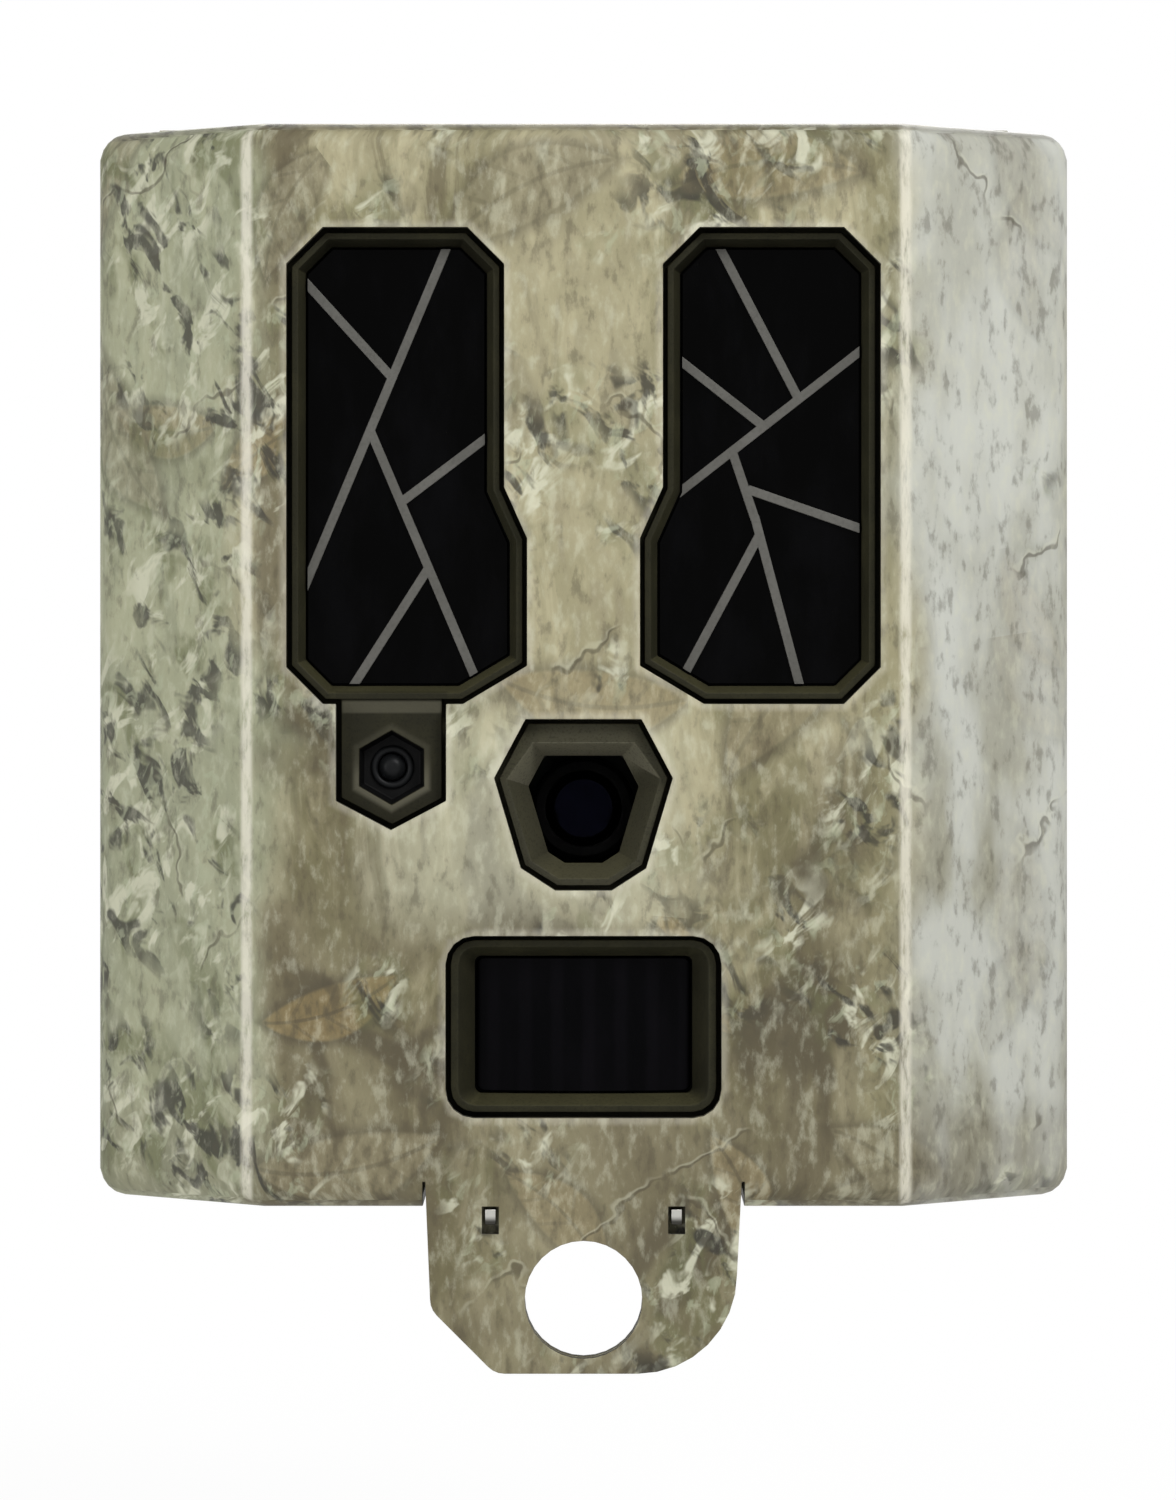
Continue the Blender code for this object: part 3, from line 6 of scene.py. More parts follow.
import bpy
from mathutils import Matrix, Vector

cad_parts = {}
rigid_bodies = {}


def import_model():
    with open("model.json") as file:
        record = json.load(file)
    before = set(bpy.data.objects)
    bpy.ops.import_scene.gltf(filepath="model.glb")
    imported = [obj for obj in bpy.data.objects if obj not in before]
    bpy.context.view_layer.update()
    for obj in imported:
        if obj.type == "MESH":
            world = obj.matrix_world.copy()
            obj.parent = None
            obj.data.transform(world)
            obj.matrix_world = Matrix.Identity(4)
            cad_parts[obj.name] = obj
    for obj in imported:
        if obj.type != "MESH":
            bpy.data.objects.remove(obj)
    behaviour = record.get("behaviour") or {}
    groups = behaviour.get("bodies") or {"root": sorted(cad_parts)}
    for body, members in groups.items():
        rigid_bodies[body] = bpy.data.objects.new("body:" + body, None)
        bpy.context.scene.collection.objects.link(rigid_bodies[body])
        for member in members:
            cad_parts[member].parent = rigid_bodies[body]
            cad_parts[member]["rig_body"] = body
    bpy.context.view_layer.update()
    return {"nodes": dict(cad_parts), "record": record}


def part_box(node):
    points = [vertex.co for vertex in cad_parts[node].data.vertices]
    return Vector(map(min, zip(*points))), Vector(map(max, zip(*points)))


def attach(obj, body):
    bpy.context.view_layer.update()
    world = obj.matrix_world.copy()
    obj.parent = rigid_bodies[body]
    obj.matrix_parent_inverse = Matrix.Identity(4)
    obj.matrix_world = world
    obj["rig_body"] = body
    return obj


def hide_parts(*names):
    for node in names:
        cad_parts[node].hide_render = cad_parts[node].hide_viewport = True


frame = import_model()

# The photograph's frame, and where the camera stands for it
PHOTO_WIDTH, PHOTO_HEIGHT = 1176, 1500
PIXEL = 0.0001309            # size of a pixel on the cover's front
MIDDLE_PIXEL = (583.5, 665)  # pixel on the middle of the box's front
VIEW_DISTANCE = 0.766        # from the cover's front
EYE_LEVEL = 0.004            # above the box's middle
SENSOR = 36.0

MM = 1000.0                  # millimetres in a metre: materials count in millimetres

# Places and sizes on the box, in metres, and angles
COVER_LOW, COVER_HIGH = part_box("box_cover")
FRONT = COVER_LOW.y
BOX_HALF = COVER_HIGH.x
FLAT_HALF = 0.0432           # middle of the front to the bends beside it
FACET_DEPTH = 0.018
FLOOR_DROP = 0.05            # studio floor below the lock tab
RIB_WIDTH = 0.0012           # ribs on the lamp windows
RIB_HEIGHT = 0.0005
RIB_EDGE = 0.00012           # rounding of the ribs and of their panes
PANE_EDGE = 0.0001
RECESS_DEPTH = 0.0055        # floor of the light sensor's recess behind the cover's front
BEZEL_RADIUS = 0.0024        # ring round the light sensor's dome
BEZEL_HALF_WIDTH = 0.0005
MERGE_GAP = 1e-5             # points closer than this are one
FLAT_ANGLE = math.radians(0.5)   # triangles at a smaller angle lie in one plane
SHARP_ANGLE = math.radians(40)   # edges at a larger angle are rounded
ROUND_SEGMENTS = 2

# Places that the materials use, in millimetres
COLUMN_PITCH = 4.2           # lens columns of the motion sensor's pane
PRONG_SPREAD = 12.2          # hook prongs each side of the middle, and their height
PRONG_HEIGHT = -72.3
RIDGE_HEIGHT = 8.0           # top of the light sensor's shield above the sensor
BEND_SHIFT = 1.0             # pale lines of wear and painted highlight lie this far left of the bends
LENS_LIGHT_FADE = (10.5, 14)        # where the painted light on the collar fades out, from the lens
RECESS_HALF = 4.4            # light sensor's recess across flats, halved
RECESS_START = (2.5, 2.7)    # its walls begin this far behind the cover's front
LAMP_FOOT = (-8, -4)         # foot of the lamp windows' collars
MOTION_HEAD = (-36, -33)     # head of the motion sensor's collar

# Studio
FLOOR_SIZE = 4.0             # in metres
FLOOR_FADE = (150, 450)      # the floor's shading fades to white between these, in millimetres
SHADOW_SHARE = 0.06          # share of it that the camera sees near the object
SKY_LIGHT = 0.26
LIGHTS = {                   # place, what it points at, size and power
    "key": ((0.5, -0.85, 0.75), (0, FRONT, 0), 0.4, 10.5),
    "fill": ((-0.8, -0.7, 0.1), (0, FRONT, 0), 0.6, 3.6),
    "back": ((0.1, 0.9, 0.7), (0, 0, 0), 0.6, 6.0),
}

# Colours of the coat and the casing, as they show in even light
SAND = "918b6d"
TAN = "a9a283"
OLIVE = "6e6a49"
BARK = "574f38"
EARTH = "3f3827"
MOSS = "5f633f"
LICHEN = "a3a88d"
PALE = "c9c9b2"
ASH = "bfc1ba"
SHADE = "211f17"
LEAF_OCHRE = "8a764a"
LEAF_GREY = "807d68"
# Pale wear with painted highlight, for the bends and the cut-outs
WEAR_HIGHLIGHT_TONE = "dcd8c8"
STEEL = "b9b8b2"
DRAB = "33322a"
CASING = "27261a"
# Painted shade on the casing
CASING_PAINTED_SHADE = "0e0d08"
CASING_GRIT = "14130d"
# Painted shade, near black, for the light sensor's recess
RECESS_PAINTED_SHADE = "070707"
# Painted light on the casing
CASING_PAINTED_LIGHT = "a19d88"
RIB_GREY = "5c5b57"

# Ends of the ribs in X and Z, in millimetres; those on a pane's edge run past it and are trimmed
RIBS = {
    "led_window_left": [
        ((-16.8, 57.8), (-37.8, 7.7)), ((-39.4, 53.4), (-25.2, 37.8)), ((-28.1, 30.9), (-12.9, -4.9)),
        ((-10.9, 31.3), (-24.0, 21.4)), ((-20.3, 12.9), (-32.1, -5.6)),
    ],
    "led_window_right": [
        ((39.9, 44.0), (11.2, 21.6)), ((16.8, 57.1), (28.3, 35.0)), ((11.5, 41.0), (23.7, 31.4)),
        ((19.6, 28.0), (22.6, 19.1)), ((22.5, 19.6), (29.3, -5.9)), ((21.6, 23.1), (39.7, 16.8)),
        ((23.15, 17.1), (12.2, -3.3)),
    ],
}

# Right half of the cover's cut-outs, and the whole shield's at the left, in X and Z and in millimetres:
# convex outlines that run counter-clockwise
LAMP_CUT = [
    (15.2, 57.3), (10.4, 52.5), (10.4, -1.9), (15.8, -5.1),
    (34.1, -5.1), (38.9, -0.3), (38.9, 52.5), (34.1, 57.3),
]
LAMP_STEP_CUT = [(10.4, 23.3), (7.4, 16.6), (7.4, -0.1), (10.4, -1.9)]
LENS_CUT = [(0.0, -29.5), (3.7, -29.5), (8.2, -26.6), (11.7, -14.8), (7.6, -7.1), (0.0, -7.1)]
MOTION_CUT = [
    (0.0, -59.3), (14.35, -59.3), (17.0, -58.2), (18.05, -55.6),
    (18.05, -39.2), (17.0, -36.6), (14.35, -35.5), (0.0, -35.5),
]
SHIELD_CUT = [(-18.0, -3.0), (-32.4, -3.0), (-32.4, -17.8), (-25.2, -21.6), (-18.0, -17.8)]


def tone(code):
    """Linear colour of a six-figure code."""
    shares = [int(code[index:index + 2], 16) / 255 for index in (0, 2, 4)]
    linear = [((share + 0.055) / 1.055) ** 2.4 if share > 0.04045 else share / 12.92 for share in shares]
    return (*linear, 1.0)


class Signal:
    """A socket whose value varies over a surface; arithmetic on it adds Math nodes."""

    def __init__(self, nodes, socket):
        self.nodes = nodes
        self.socket = socket

    def math(self, operation, *others):
        return self.nodes.node("ShaderNodeMath", {"operation": operation}, dict(enumerate((self, *others))))

    def reflected(self, operation, other):
        return self.nodes.node("ShaderNodeMath", {"operation": operation}, {0: other, 1: self})

    def __add__(self, other):
        return self.math("ADD", other)

    def __radd__(self, other):
        return self.math("ADD", other)

    def __sub__(self, other):
        return self.math("SUBTRACT", other)

    def __rsub__(self, other):
        return self.reflected("SUBTRACT", other)

    def __mul__(self, other):
        return self.math("MULTIPLY", other)

    def __rmul__(self, other):
        return self.math("MULTIPLY", other)

    def __truediv__(self, other):
        return self.math("DIVIDE", other)

    def __abs__(self):
        return self.math("ABSOLUTE")

    def lower(self, other):
        return self.math("MINIMUM", other)

    def upper(self, other):
        return self.math("MAXIMUM", other)

    def rise(self, start, end):
        """0 before start and 1 after end, with a smooth way between."""
        return self.nodes.node("ShaderNodeMapRange", {"interpolation_type": "SMOOTHSTEP"},
                               {"Value": self, "From Min": start, "From Max": end})

    def fall(self, start, end):
        return 1 - self.rise(start, end)


class Nodes:
    """A tree of nodes, of a material or of the world."""

    def __init__(self, tree):
        self.tree = tree

    def node(self, kind, settings, inputs, output=0):
        """Add a node: its settings first, then the values or links of its sockets."""
        made = self.tree.nodes.new(kind)
        for key, value in settings.items():
            setattr(made, key, value)
        for key, value in inputs.items():
            self.feed(made.inputs[key], value)
        return Signal(self, made.outputs[output])

    def feed(self, socket, value):
        if isinstance(value, Signal):
            self.tree.links.new(value.socket, socket)
        else:
            socket.default_value = value

    def seen(self):
        """1 for what the camera sees itself, in a reflection or through glass."""
        rays = self.node("ShaderNodeLightPath", {}, {}).socket.node.outputs
        kinds = ("Camera", "Glossy", "Transmission")
        camera, glossy, passed = (Signal(self, rays[f"Is {kind} Ray"]) for kind in kinds)
        return camera.upper(glossy).upper(passed)


class Finish(Nodes):
    """A material and the nodes that vary it."""

    def __init__(self, name, **constants):
        self.material = bpy.data.materials.new(name)
        self.material.use_nodes = True
        super().__init__(self.material.node_tree)
        self.shader = self.tree.nodes["Principled BSDF"]
        for socket, value in constants.items():
            self.shader.inputs[socket.replace("_", " ")].default_value = value

    def place(self):
        """Object coordinates in millimetres."""
        point = self.node("ShaderNodeTexCoord", {}, {}, "Object")
        return self.vector("SCALE", point, Scale=MM)

    def normal(self):
        return self.node("ShaderNodeTexCoord", {}, {}, "Normal")

    def vector(self, operation, first, second=(0, 0, 0), output=0, **more):
        return self.node("ShaderNodeVectorMath", {"operation": operation},
                         {0: first, 1: second, **more}, output)

    def split(self, vector):
        parts = self.node("ShaderNodeSeparateXYZ", {}, {0: vector}).socket.node
        return [Signal(self, socket) for socket in parts.outputs]

    def join(self, x, y, z=0.0):
        return self.node("ShaderNodeCombineXYZ", {}, {0: x, 1: y, 2: z})

    def noise(self, place, size, detail=2.0, roughness=0.5, distortion=0.0):
        """Soft noise whose features are about a size in millimetres."""
        return self.node("ShaderNodeTexNoise", {}, {
            "Vector": place, "Scale": 1 / size, "Detail": detail,
            "Roughness": roughness, "Distortion": distortion})

    def blend(self, share, first, second):
        """Mix two colours, each a code or a signal."""
        colours = [tone(item) if isinstance(item, str) else item for item in (first, second)]
        return self.node("ShaderNodeMix", {"data_type": "RGBA"}, {0: share, 6: colours[0], 7: colours[1]}, 2)

    def bump(self, height, strength, distance):
        """Relief in millimetres on the shader's normal."""
        relief = self.node("ShaderNodeBump", {}, {
            "Strength": strength, "Distance": distance / MM, "Height": height})
        self.set("Normal", relief)

    def set(self, socket, value):
        self.feed(self.shader.inputs[socket], value)


def middle(node):
    """Middle of a CAD piece's box, in millimetres."""
    low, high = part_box(node)
    return (low + high) * (MM / 2)


def unfolded(finish, place):
    """Place on the flat sheet before it was bent, so that the print runs on round the bends."""
    x, y, z = finish.split(place)
    _, facing_back, facing_up = finish.split(finish.normal())
    square_on = (0.7, 0.72)
    lid, back = abs(facing_up).rise(*square_on), facing_back.rise(*square_on)
    flat, run, fall = FLAT_HALF * MM, (BOX_HALF - FLAT_HALF) * MM, FACET_DEPTH * MM
    across = abs(x)
    beyond = (across - flat).upper(0.0)
    depth = (y - FRONT * MM - beyond * (fall / run)).upper(0.0)
    u = (across.lower(flat) + beyond * (math.hypot(run, fall) / run) + depth * (1 - lid)) * x.math("SIGN")
    reach = flat + math.hypot(run, fall) - FRONT * MM - fall
    u = u + back * (reach + flat + run - x - u)
    v = z + facing_up.math("SIGN") * depth * lid
    return u, v


def leaves(finish, u, v, size, seed):
    """Scattered lance-shaped leaves: their cover, their shadow, their veins and a random number for each."""
    spot = finish.join(u / size + seed, v / size - seed)
    scattered = finish.node("ShaderNodeTexVoronoi", {"voronoi_dimensions": "2D"},
                            {"Vector": spot, "Scale": 1.0, "Randomness": 0.7}).socket.node.outputs
    chance, centre = (Signal(finish, scattered[key]) for key in ("Color", "Position"))
    dx, dy, _ = finish.split(finish.vector("SUBTRACT", spot, centre))
    turn, chosen, hue = finish.split(chance)
    angle = turn * math.tau
    cosine, sine = angle.math("COSINE"), angle.math("SINE")
    along = dx * cosine + dy * sine
    aside = dy * cosine - dx * sine + along * along * 0.5
    half_length, half_width = 0.4, 0.15
    edge = (1 - (along / half_length) * (along / half_length)) * half_width - abs(aside)
    shown = chosen.rise(0.55, 0.57)
    side_veins = (along * 34 + abs(aside) * 30).math("SINE").rise(0.86, 0.98) * 0.6
    vein = abs(aside).fall(0.004, 0.014).upper(side_veins)
    return edge.rise(0.0, 0.025) * shown, edge.rise(-0.06, 0.01) * shown, vein, hue


def twigs(finish, u, v, spacing, slope, seed):
    """Thin crooked lines across the print: their dark core and the light on their upper edge."""
    crook = finish.noise(finish.join(u, v, seed), 11, 3, 0.55)
    across = (v - u * slope + crook * 26 + seed) / spacing
    offset = (across.math("FRACT") - 0.5) * spacing
    length = finish.noise(finish.join(u * 0.7, v * 0.7, seed + 40), 13, 2, 0.5).rise(0.56, 0.62)
    return abs(offset).fall(0.2, 0.7) * length, abs(offset - 0.8).fall(0.1, 0.7) * length


def flecks(finish, u, v, size, slant, seed):
    """Small slanting spots, as of moss and litter seen from afar."""
    spot = finish.join(u + v * slant, v * 0.6 - u * slant * 0.5, seed)
    return finish.noise(spot, size, 3, 0.55, 0.7)


def outside(finish, spot, corners):
    """Distance in millimetres beyond a convex outline in X and Z, below 0 within it."""
    distance = None
    for (x, z), (next_x, next_z) in zip(corners, corners[1:] + corners[:1]):
        length = math.hypot(next_x - x, next_z - z)
        across, up = (next_z - z) / length, (x - next_x) / length
        beyond = finish.vector("DOT_PRODUCT", spot, (across, 0.0, up), 1) - (across * x + up * z)
        distance = distance.upper(beyond) if distance else beyond
    return distance


def cut_distance(finish, x, z):
    """Distance in millimetres from the nearest cut-out of the cover."""
    mirrored = finish.join(abs(x), 0.0, z)
    distance = outside(finish, finish.join(x, 0.0, z), SHIELD_CUT)
    for corners in (LAMP_CUT, LAMP_STEP_CUT, LENS_CUT, MOTION_CUT):
        distance = distance.lower(outside(finish, mirrored, corners))
    return distance


def camouflage():
    """Printed bark and leaf-litter coat over sheet steel, with plain drab primer inside the box."""
    coat = Finish("camouflage_coat", IOR=1.45)
    place = coat.place()
    u, v = unfolded(coat, place)
    sheet = coat.join(u, v)
    x, y, z = coat.split(place)
    behind = y - FRONT * MM

    # Noises, and the zones of the print: mossy at the left, ashen at the right and darker below
    cloud = coat.noise(sheet, 26, 3, 0.55, 0.4)
    bark = coat.noise(coat.join(u, v * 0.24), 5.0, 6, 0.6, 0.9)
    grain = coat.noise(coat.join(u, v * 0.45, 7.0), 1.6, 4, 0.6)
    patch = coat.noise(coat.join(u, v * 0.55, 31.0), 17, 3, 0.6, 0.6)
    near = abs(v).fall(72, 92)
    left = (u + cloud * 30).fall(-34, -24) * (u + cloud * 30).rise(-80, -60) * near
    right = (u - cloud * 26).rise(24, 34) * (u - cloud * 26).fall(54, 74) * near
    low = (v + cloud * 40 + abs(u).fall(14, 34) * 16).fall(-10, 30)

    # Ground, from the bark's streaks to the shaded strips beside the lamp windows and the foot above the tab
    colour = coat.blend(cloud.rise(0.4, 0.6), OLIVE, SAND)
    colour = coat.blend(bark.rise(0.5, 0.66) * 0.8, colour, TAN)
    colour = coat.blend(bark.fall(0.36, 0.48) * 0.7, colour, BARK)
    colour = coat.blend(patch.rise(0.52, 0.64) * 0.55, colour, EARTH)
    between_lamps = abs(u + bark * 14 - 7).fall(6, 16)
    colour = coat.blend(between_lamps * 0.5, colour, TAN)
    colour = coat.blend(low * (patch.rise(0.4, 0.6) * 0.4 + 0.36), colour, BARK)
    colour = coat.blend(low * patch.rise(0.54, 0.62) * 0.5, colour, EARTH)
    colour = coat.blend(low * patch.fall(0.32, 0.44) * 0.5, colour, TAN)
    round_lens = abs(u + bark * 14).fall(13, 26) * abs(v + cloud * 10 + 15).fall(9, 19)
    colour = coat.blend(round_lens * 0.34, colour, PALE)
    colour = coat.blend(abs(u + 40.5).fall(1.5, 5.0) * cloud.rise(0.3, 0.6) * 0.8, colour, BARK)
    colour = coat.blend(left * 0.65, colour, LICHEN)
    faint = coat.noise(coat.join(u, v * 0.4, 57.0), 9, 3, 0.5)
    ash = coat.blend(faint.fall(0.34, 0.62) * (low * 0.3 + 0.4) + low * 0.12, ASH, LEAF_GREY)
    colour = coat.blend(right * 0.92, colour, ash)
    colour = coat.blend(abs(u - 39.5).fall(1.0, 4.5) * near * 0.5, colour, OLIVE)
    colour = coat.blend(v.fall(-62, -56) * (v.rise(-76, -70) * 0.25 + 0.1), colour, BARK)

    # Leaves, moss and litter, twigs and a fine grain over all of it
    for size, seed in ((25.0, 3.7), (33.0, 11.3)):
        cover, shadow, vein, hue = leaves(coat, u, v, size, seed)
        leaf = coat.blend(hue, LEAF_GREY, LEAF_OCHRE)
        leaf = coat.blend(grain.fall(0.35, 0.65) * 0.6, leaf, BARK)
        leaf = coat.blend(vein * 0.6, leaf, EARTH)
        shown = 1 - right * 0.65
        colour = coat.blend((shadow - cover) * shown * 0.5, colour, EARTH)
        colour = coat.blend(cover * shown * 0.6, colour, leaf)

    cluster = coat.noise(coat.join(u, v, 83.0), 19, 3, 0.55) + left * 0.12 - right * 0.14
    crowded = cluster.rise(0.46, 0.6)
    for size, slant, seed, edge, share, hue in (
            (9.0, 0.5, 61.0, (0.5, 0.62), crowded * 0.4 + left * 0.3, MOSS),
            (4.4, -0.7, 67.0, (0.52, 0.64), crowded * 0.75, PALE),
            (5.2, 0.8, 71.0, (0.53, 0.62), crowded * 0.85, SHADE),
            (2.4, -0.3, 79.0, (0.55, 0.66), crowded * 0.5, LICHEN)):
        colour = coat.blend(flecks(coat, u, v, size, slant, seed).rise(*edge) * share, colour, hue)
    for spacing, slope, seed in ((38.0, 0.8, 5.0), (47.0, -1.3, 17.0)):
        core, light = twigs(coat, u, v, spacing, slope, seed)
        colour = coat.blend(light * 0.22, colour, PALE)
        colour = coat.blend(core * 0.6, colour, EARTH)
    colour = coat.blend(grain.rise(0.5, 0.72) * 0.3, colour, PALE)
    colour = coat.blend(grain.fall(0.3, 0.48) * 0.45, colour, EARTH)

    # Wear and painted highlight along the bends and the cut-outs, painted shade on the upper bend, and the
    # bare prongs with painted light and shade
    scuff = coat.noise(coat.join(u * 2, v * 0.5, 5.0), 2.4, 4, 0.7)
    # Pale lines along the bends and round the cut-outs: wear, with painted highlight
    bend = abs(abs(x + BEND_SHIFT) - FLAT_HALF * MM).fall(0.3, 1.1) * behind.fall(1.5, 2.5)
    rim = cut_distance(coat, x, z).fall(0.3, 1.3) * behind.fall(0.2, 0.4)
    wear_and_highlight = bend.upper(rim * 0.32) * scuff.rise(0.22, 0.56)
    colour = coat.blend(wear_and_highlight * 0.66, colour, WEAR_HIGHLIGHT_TONE)
    facing_up = coat.split(coat.normal())[2]
    # Painted shade on the upper bend, where its faces look up
    colour = coat.blend(facing_up.rise(0.6, 0.85) * facing_up.fall(0.95, 0.99) * 0.5, colour, EARTH)
    prong = abs(abs(x) - PRONG_SPREAD).fall(0.8, 0.85) * abs(z - PRONG_HEIGHT).fall(1.1, 1.15)
    prong = prong * behind.fall(0.9, 1.2) * behind.rise(0.2, 0.3)
    # Painted light on the prongs' tops and painted shade below them
    lit = (z - PRONG_HEIGHT).rise(-0.7, 0.2)
    colour = coat.blend(prong, colour, coat.blend(lit, SHADE, STEEL))

    dust = coat.noise(coat.join(u, v, 41.0), 9, 4, 0.6)
    primer = coat.blend(dust.rise(0.4, 0.7) * 0.4, DRAB, BARK)
    coat.set("Base Color", coat.blend(inside_sheet(coat, place), colour, primer))
    coat.set("Metallic", prong * lit)
    coat.set("Roughness", 0.46 + grain * 0.12 + dust * 0.1 - wear_and_highlight * 0.1 - prong * 0.15)
    peel = coat.noise(place, 0.55, 3, 0.55)
    coat.bump(peel + scuff * 0.3, 0.25, 0.05)
    return coat.material


def inside_sheet(coat, place):
    """1 on faces that look into the box."""
    outward = coat.vector("NORMALIZE", coat.vector("SUBTRACT", place, (0.0, FRONT * MM / 2, 0.0)))
    facing = coat.vector("DOT_PRODUCT", outward, coat.normal(), 1)
    return facing.fall(-0.06, 0.0)


def casing_plastic():
    """Moulded casing: dust and painted light on its ledges, painted shade on faces that look down above the
    lamp windows and beside the motion sensor, painted light round the lens and on the light sensor's rim and
    ridge, and painted shade in and round the light sensor's recess.
    """
    plastic = Finish("casing_plastic", Specular_IOR_Level=0.1)
    place = plastic.place()
    dust = plastic.noise(place, 6, 4, 0.6)
    grit = plastic.noise(place, 0.32, 2, 0.6)
    facing_side, _, facing_up = plastic.split(plastic.normal())
    # Paler on faces that look up: dust, and painted light from above
    ledge_dust_and_light = facing_up.rise(0.15, 0.8)
    shade = plastic.blend(dust.rise(0.4, 0.75) * 0.07 + ledge_dust_and_light * 0.15, CASING, OLIVE)
    height = plastic.split(place)[2]
    # Painted shade on faces that look down above the lamp windows' foot, and on the motion sensor collar's
    # sides
    under_lamps = facing_up.fall(-0.7, -0.2) * height.rise(*LAMP_FOOT)
    beside_motion = abs(facing_side).rise(0.2, 0.6) * height.fall(*MOTION_HEAD)
    shade = plastic.blend(under_lamps * 0.5, shade, CASING_PAINTED_SHADE)
    shade = plastic.blend(beside_motion * 0.4, shade, CASING_PAINTED_SHADE)
    # Painted light on the collar round the lens, less on faces that look down
    to_lens = plastic.vector("SUBTRACT", place, tuple(middle("lens_window")))
    to_lens = plastic.vector("MULTIPLY", to_lens, (1.0, 0.0, 1.0))
    painted_light_round_lens = plastic.vector("LENGTH", to_lens, output=1).fall(*LENS_LIGHT_FADE)
    shade = plastic.blend(painted_light_round_lens * (facing_up.fall(-0.5, 0.0) * 0.2 + 0.06), shade, CASING_PAINTED_LIGHT)
    shade = plastic.blend(grit.fall(0.3, 0.5) * 0.4, shade, CASING_GRIT)
    eye = middle("light_sensor")
    x, y, z = plastic.split(plastic.vector("SUBTRACT", place, (eye.x, 0.0, eye.z)))
    away = abs(x).upper(abs(x) * 0.5 + abs(z) * 0.866)
    face = (y - FRONT * MM).fall(*RECESS_START)
    # Painted shade, near black, on the recess's walls
    recess = away.fall(RECESS_HALF - 0.1, RECESS_HALF + 0.1) * (1 - face)
    # Painted highlight on the recess's rim, most on its lower half, and on the shield's ridge
    rim = away.rise(RECESS_HALF - 0.2, RECESS_HALF) * away.fall(4.6, 5.4) * (z.fall(-2.0, 2.0) * 0.14 + 0.05)
    ridge = abs(x).fall(6.2, 6.8) * abs(z - RIDGE_HEIGHT).fall(0.6, 1.0) * 0.12
    # Painted shade on the shield round the light sensor
    shade = plastic.blend(abs(x).fall(7.2, 7.4) * abs(z - 2).fall(9, 12) * face * 0.35, shade, CASING_PAINTED_SHADE)
    shade = plastic.blend(rim.upper(ridge) * face, shade, CASING_PAINTED_LIGHT)
    plastic.set("Base Color", plastic.blend(recess, shade, RECESS_PAINTED_SHADE))
    plastic.set("Roughness", 0.5 + dust * 0.2)
    plastic.bump(grit, 0.35, 0.04)
    return plastic.material


def infrared_pane():
    """Polished black pane that passes infrared only, a little smeared."""
    pane = Finish("infrared_pane", Specular_IOR_Level=0.03)
    smear = pane.noise(pane.vector("MULTIPLY", pane.place(), (1.0, 1.0, 0.4)), 7, 4, 0.6)
    pane.set("Base Color", pane.blend(smear.rise(0.4, 0.75), "010101", "050506"))
    pane.set("Roughness", 0.14 + smear * 0.12)
    return pane.material


def rib_plastic():
    """Grey moulded ribs, duller where they are scuffed."""
    plastic = Finish("rib_plastic", Specular_IOR_Level=0.15)
    place = plastic.place()
    grit, cloud = plastic.noise(place, 0.5, 3, 0.6), plastic.noise(place, 9, 3, 0.6)
    colour = plastic.blend(cloud.rise(0.35, 0.65) * 0.5, RIB_GREY, "4c4b47")
    plastic.set("Base Color", plastic.blend(grit.rise(0.45, 0.7) * 0.3, colour, "3d3c38"))
    plastic.set("Roughness", 0.42 + cloud * 0.2)
    plastic.bump(grit, 0.2, 0.02)
    return plastic.material


def sensor_dome():
    """Smoky dome of the light sensor and the ring round it."""
    dome = Finish("sensor_dome", Specular_IOR_Level=0.1)
    cloud = dome.noise(dome.place(), 1.2, 3, 0.5)
    dome.set("Base Color", dome.blend(cloud, "0f1011", "161718"))
    dome.set("Roughness", 0.34 + cloud * 0.15)
    return dome.material


def motion_pane():
    """Moulded pane of the motion sensor, violet black with faint upright lens columns."""
    pane = Finish("motion_pane", Specular_IOR_Level=0.03)
    place = pane.place()
    x = pane.split(place)[0]
    smear = pane.noise(pane.vector("MULTIPLY", place, (1.0, 1.0, 0.3)), 6, 4, 0.6)
    column = (x * (math.tau / COLUMN_PITCH) + smear).math("SINE").rise(-0.2, 0.9)
    pane.set("Base Color", pane.blend(column * 0.5 + smear.rise(0.4, 0.7) * 0.5, "020203", "08070a"))
    pane.set("Roughness", 0.16 + smear * 0.14)
    return pane.material


def filter_glass():
    """Sliding filter plate: a blue-green pane that stops infrared, a clear night pane, a black bar between."""
    glass = Finish("filter_glass", Transmission_Weight=1.0, IOR=1.5)
    place = glass.place()
    smear = glass.noise(place, 3, 3, 0.6)
    aside = glass.split(place)[0] - middle("ir_cut_filter").x
    day = glass.blend(smear.rise(0.4, 0.7), "6fb0ba", "84bcc4")
    colour = glass.blend(aside.rise(-0.1, 0.1), "dfe5e4", day)
    glass.set("Base Color", glass.blend(abs(aside).fall(0.4, 0.5), colour, "050505"))
    glass.set("Roughness", 0.02 + smear * 0.03)
    return glass.material


def cover_glass():
    """Thin smoked pane over the lens, coated against reflections, mostly see-through and a little smeared."""
    glass = Finish("lens_cover_glass", Base_Color=tone("000000"), Roughness=0.4, Specular_IOR_Level=0.0)
    smear = glass.noise(glass.place(), 3, 3, 0.6)
    glass.set("Alpha", 0.2 + smear * 0.2)
    return glass.material


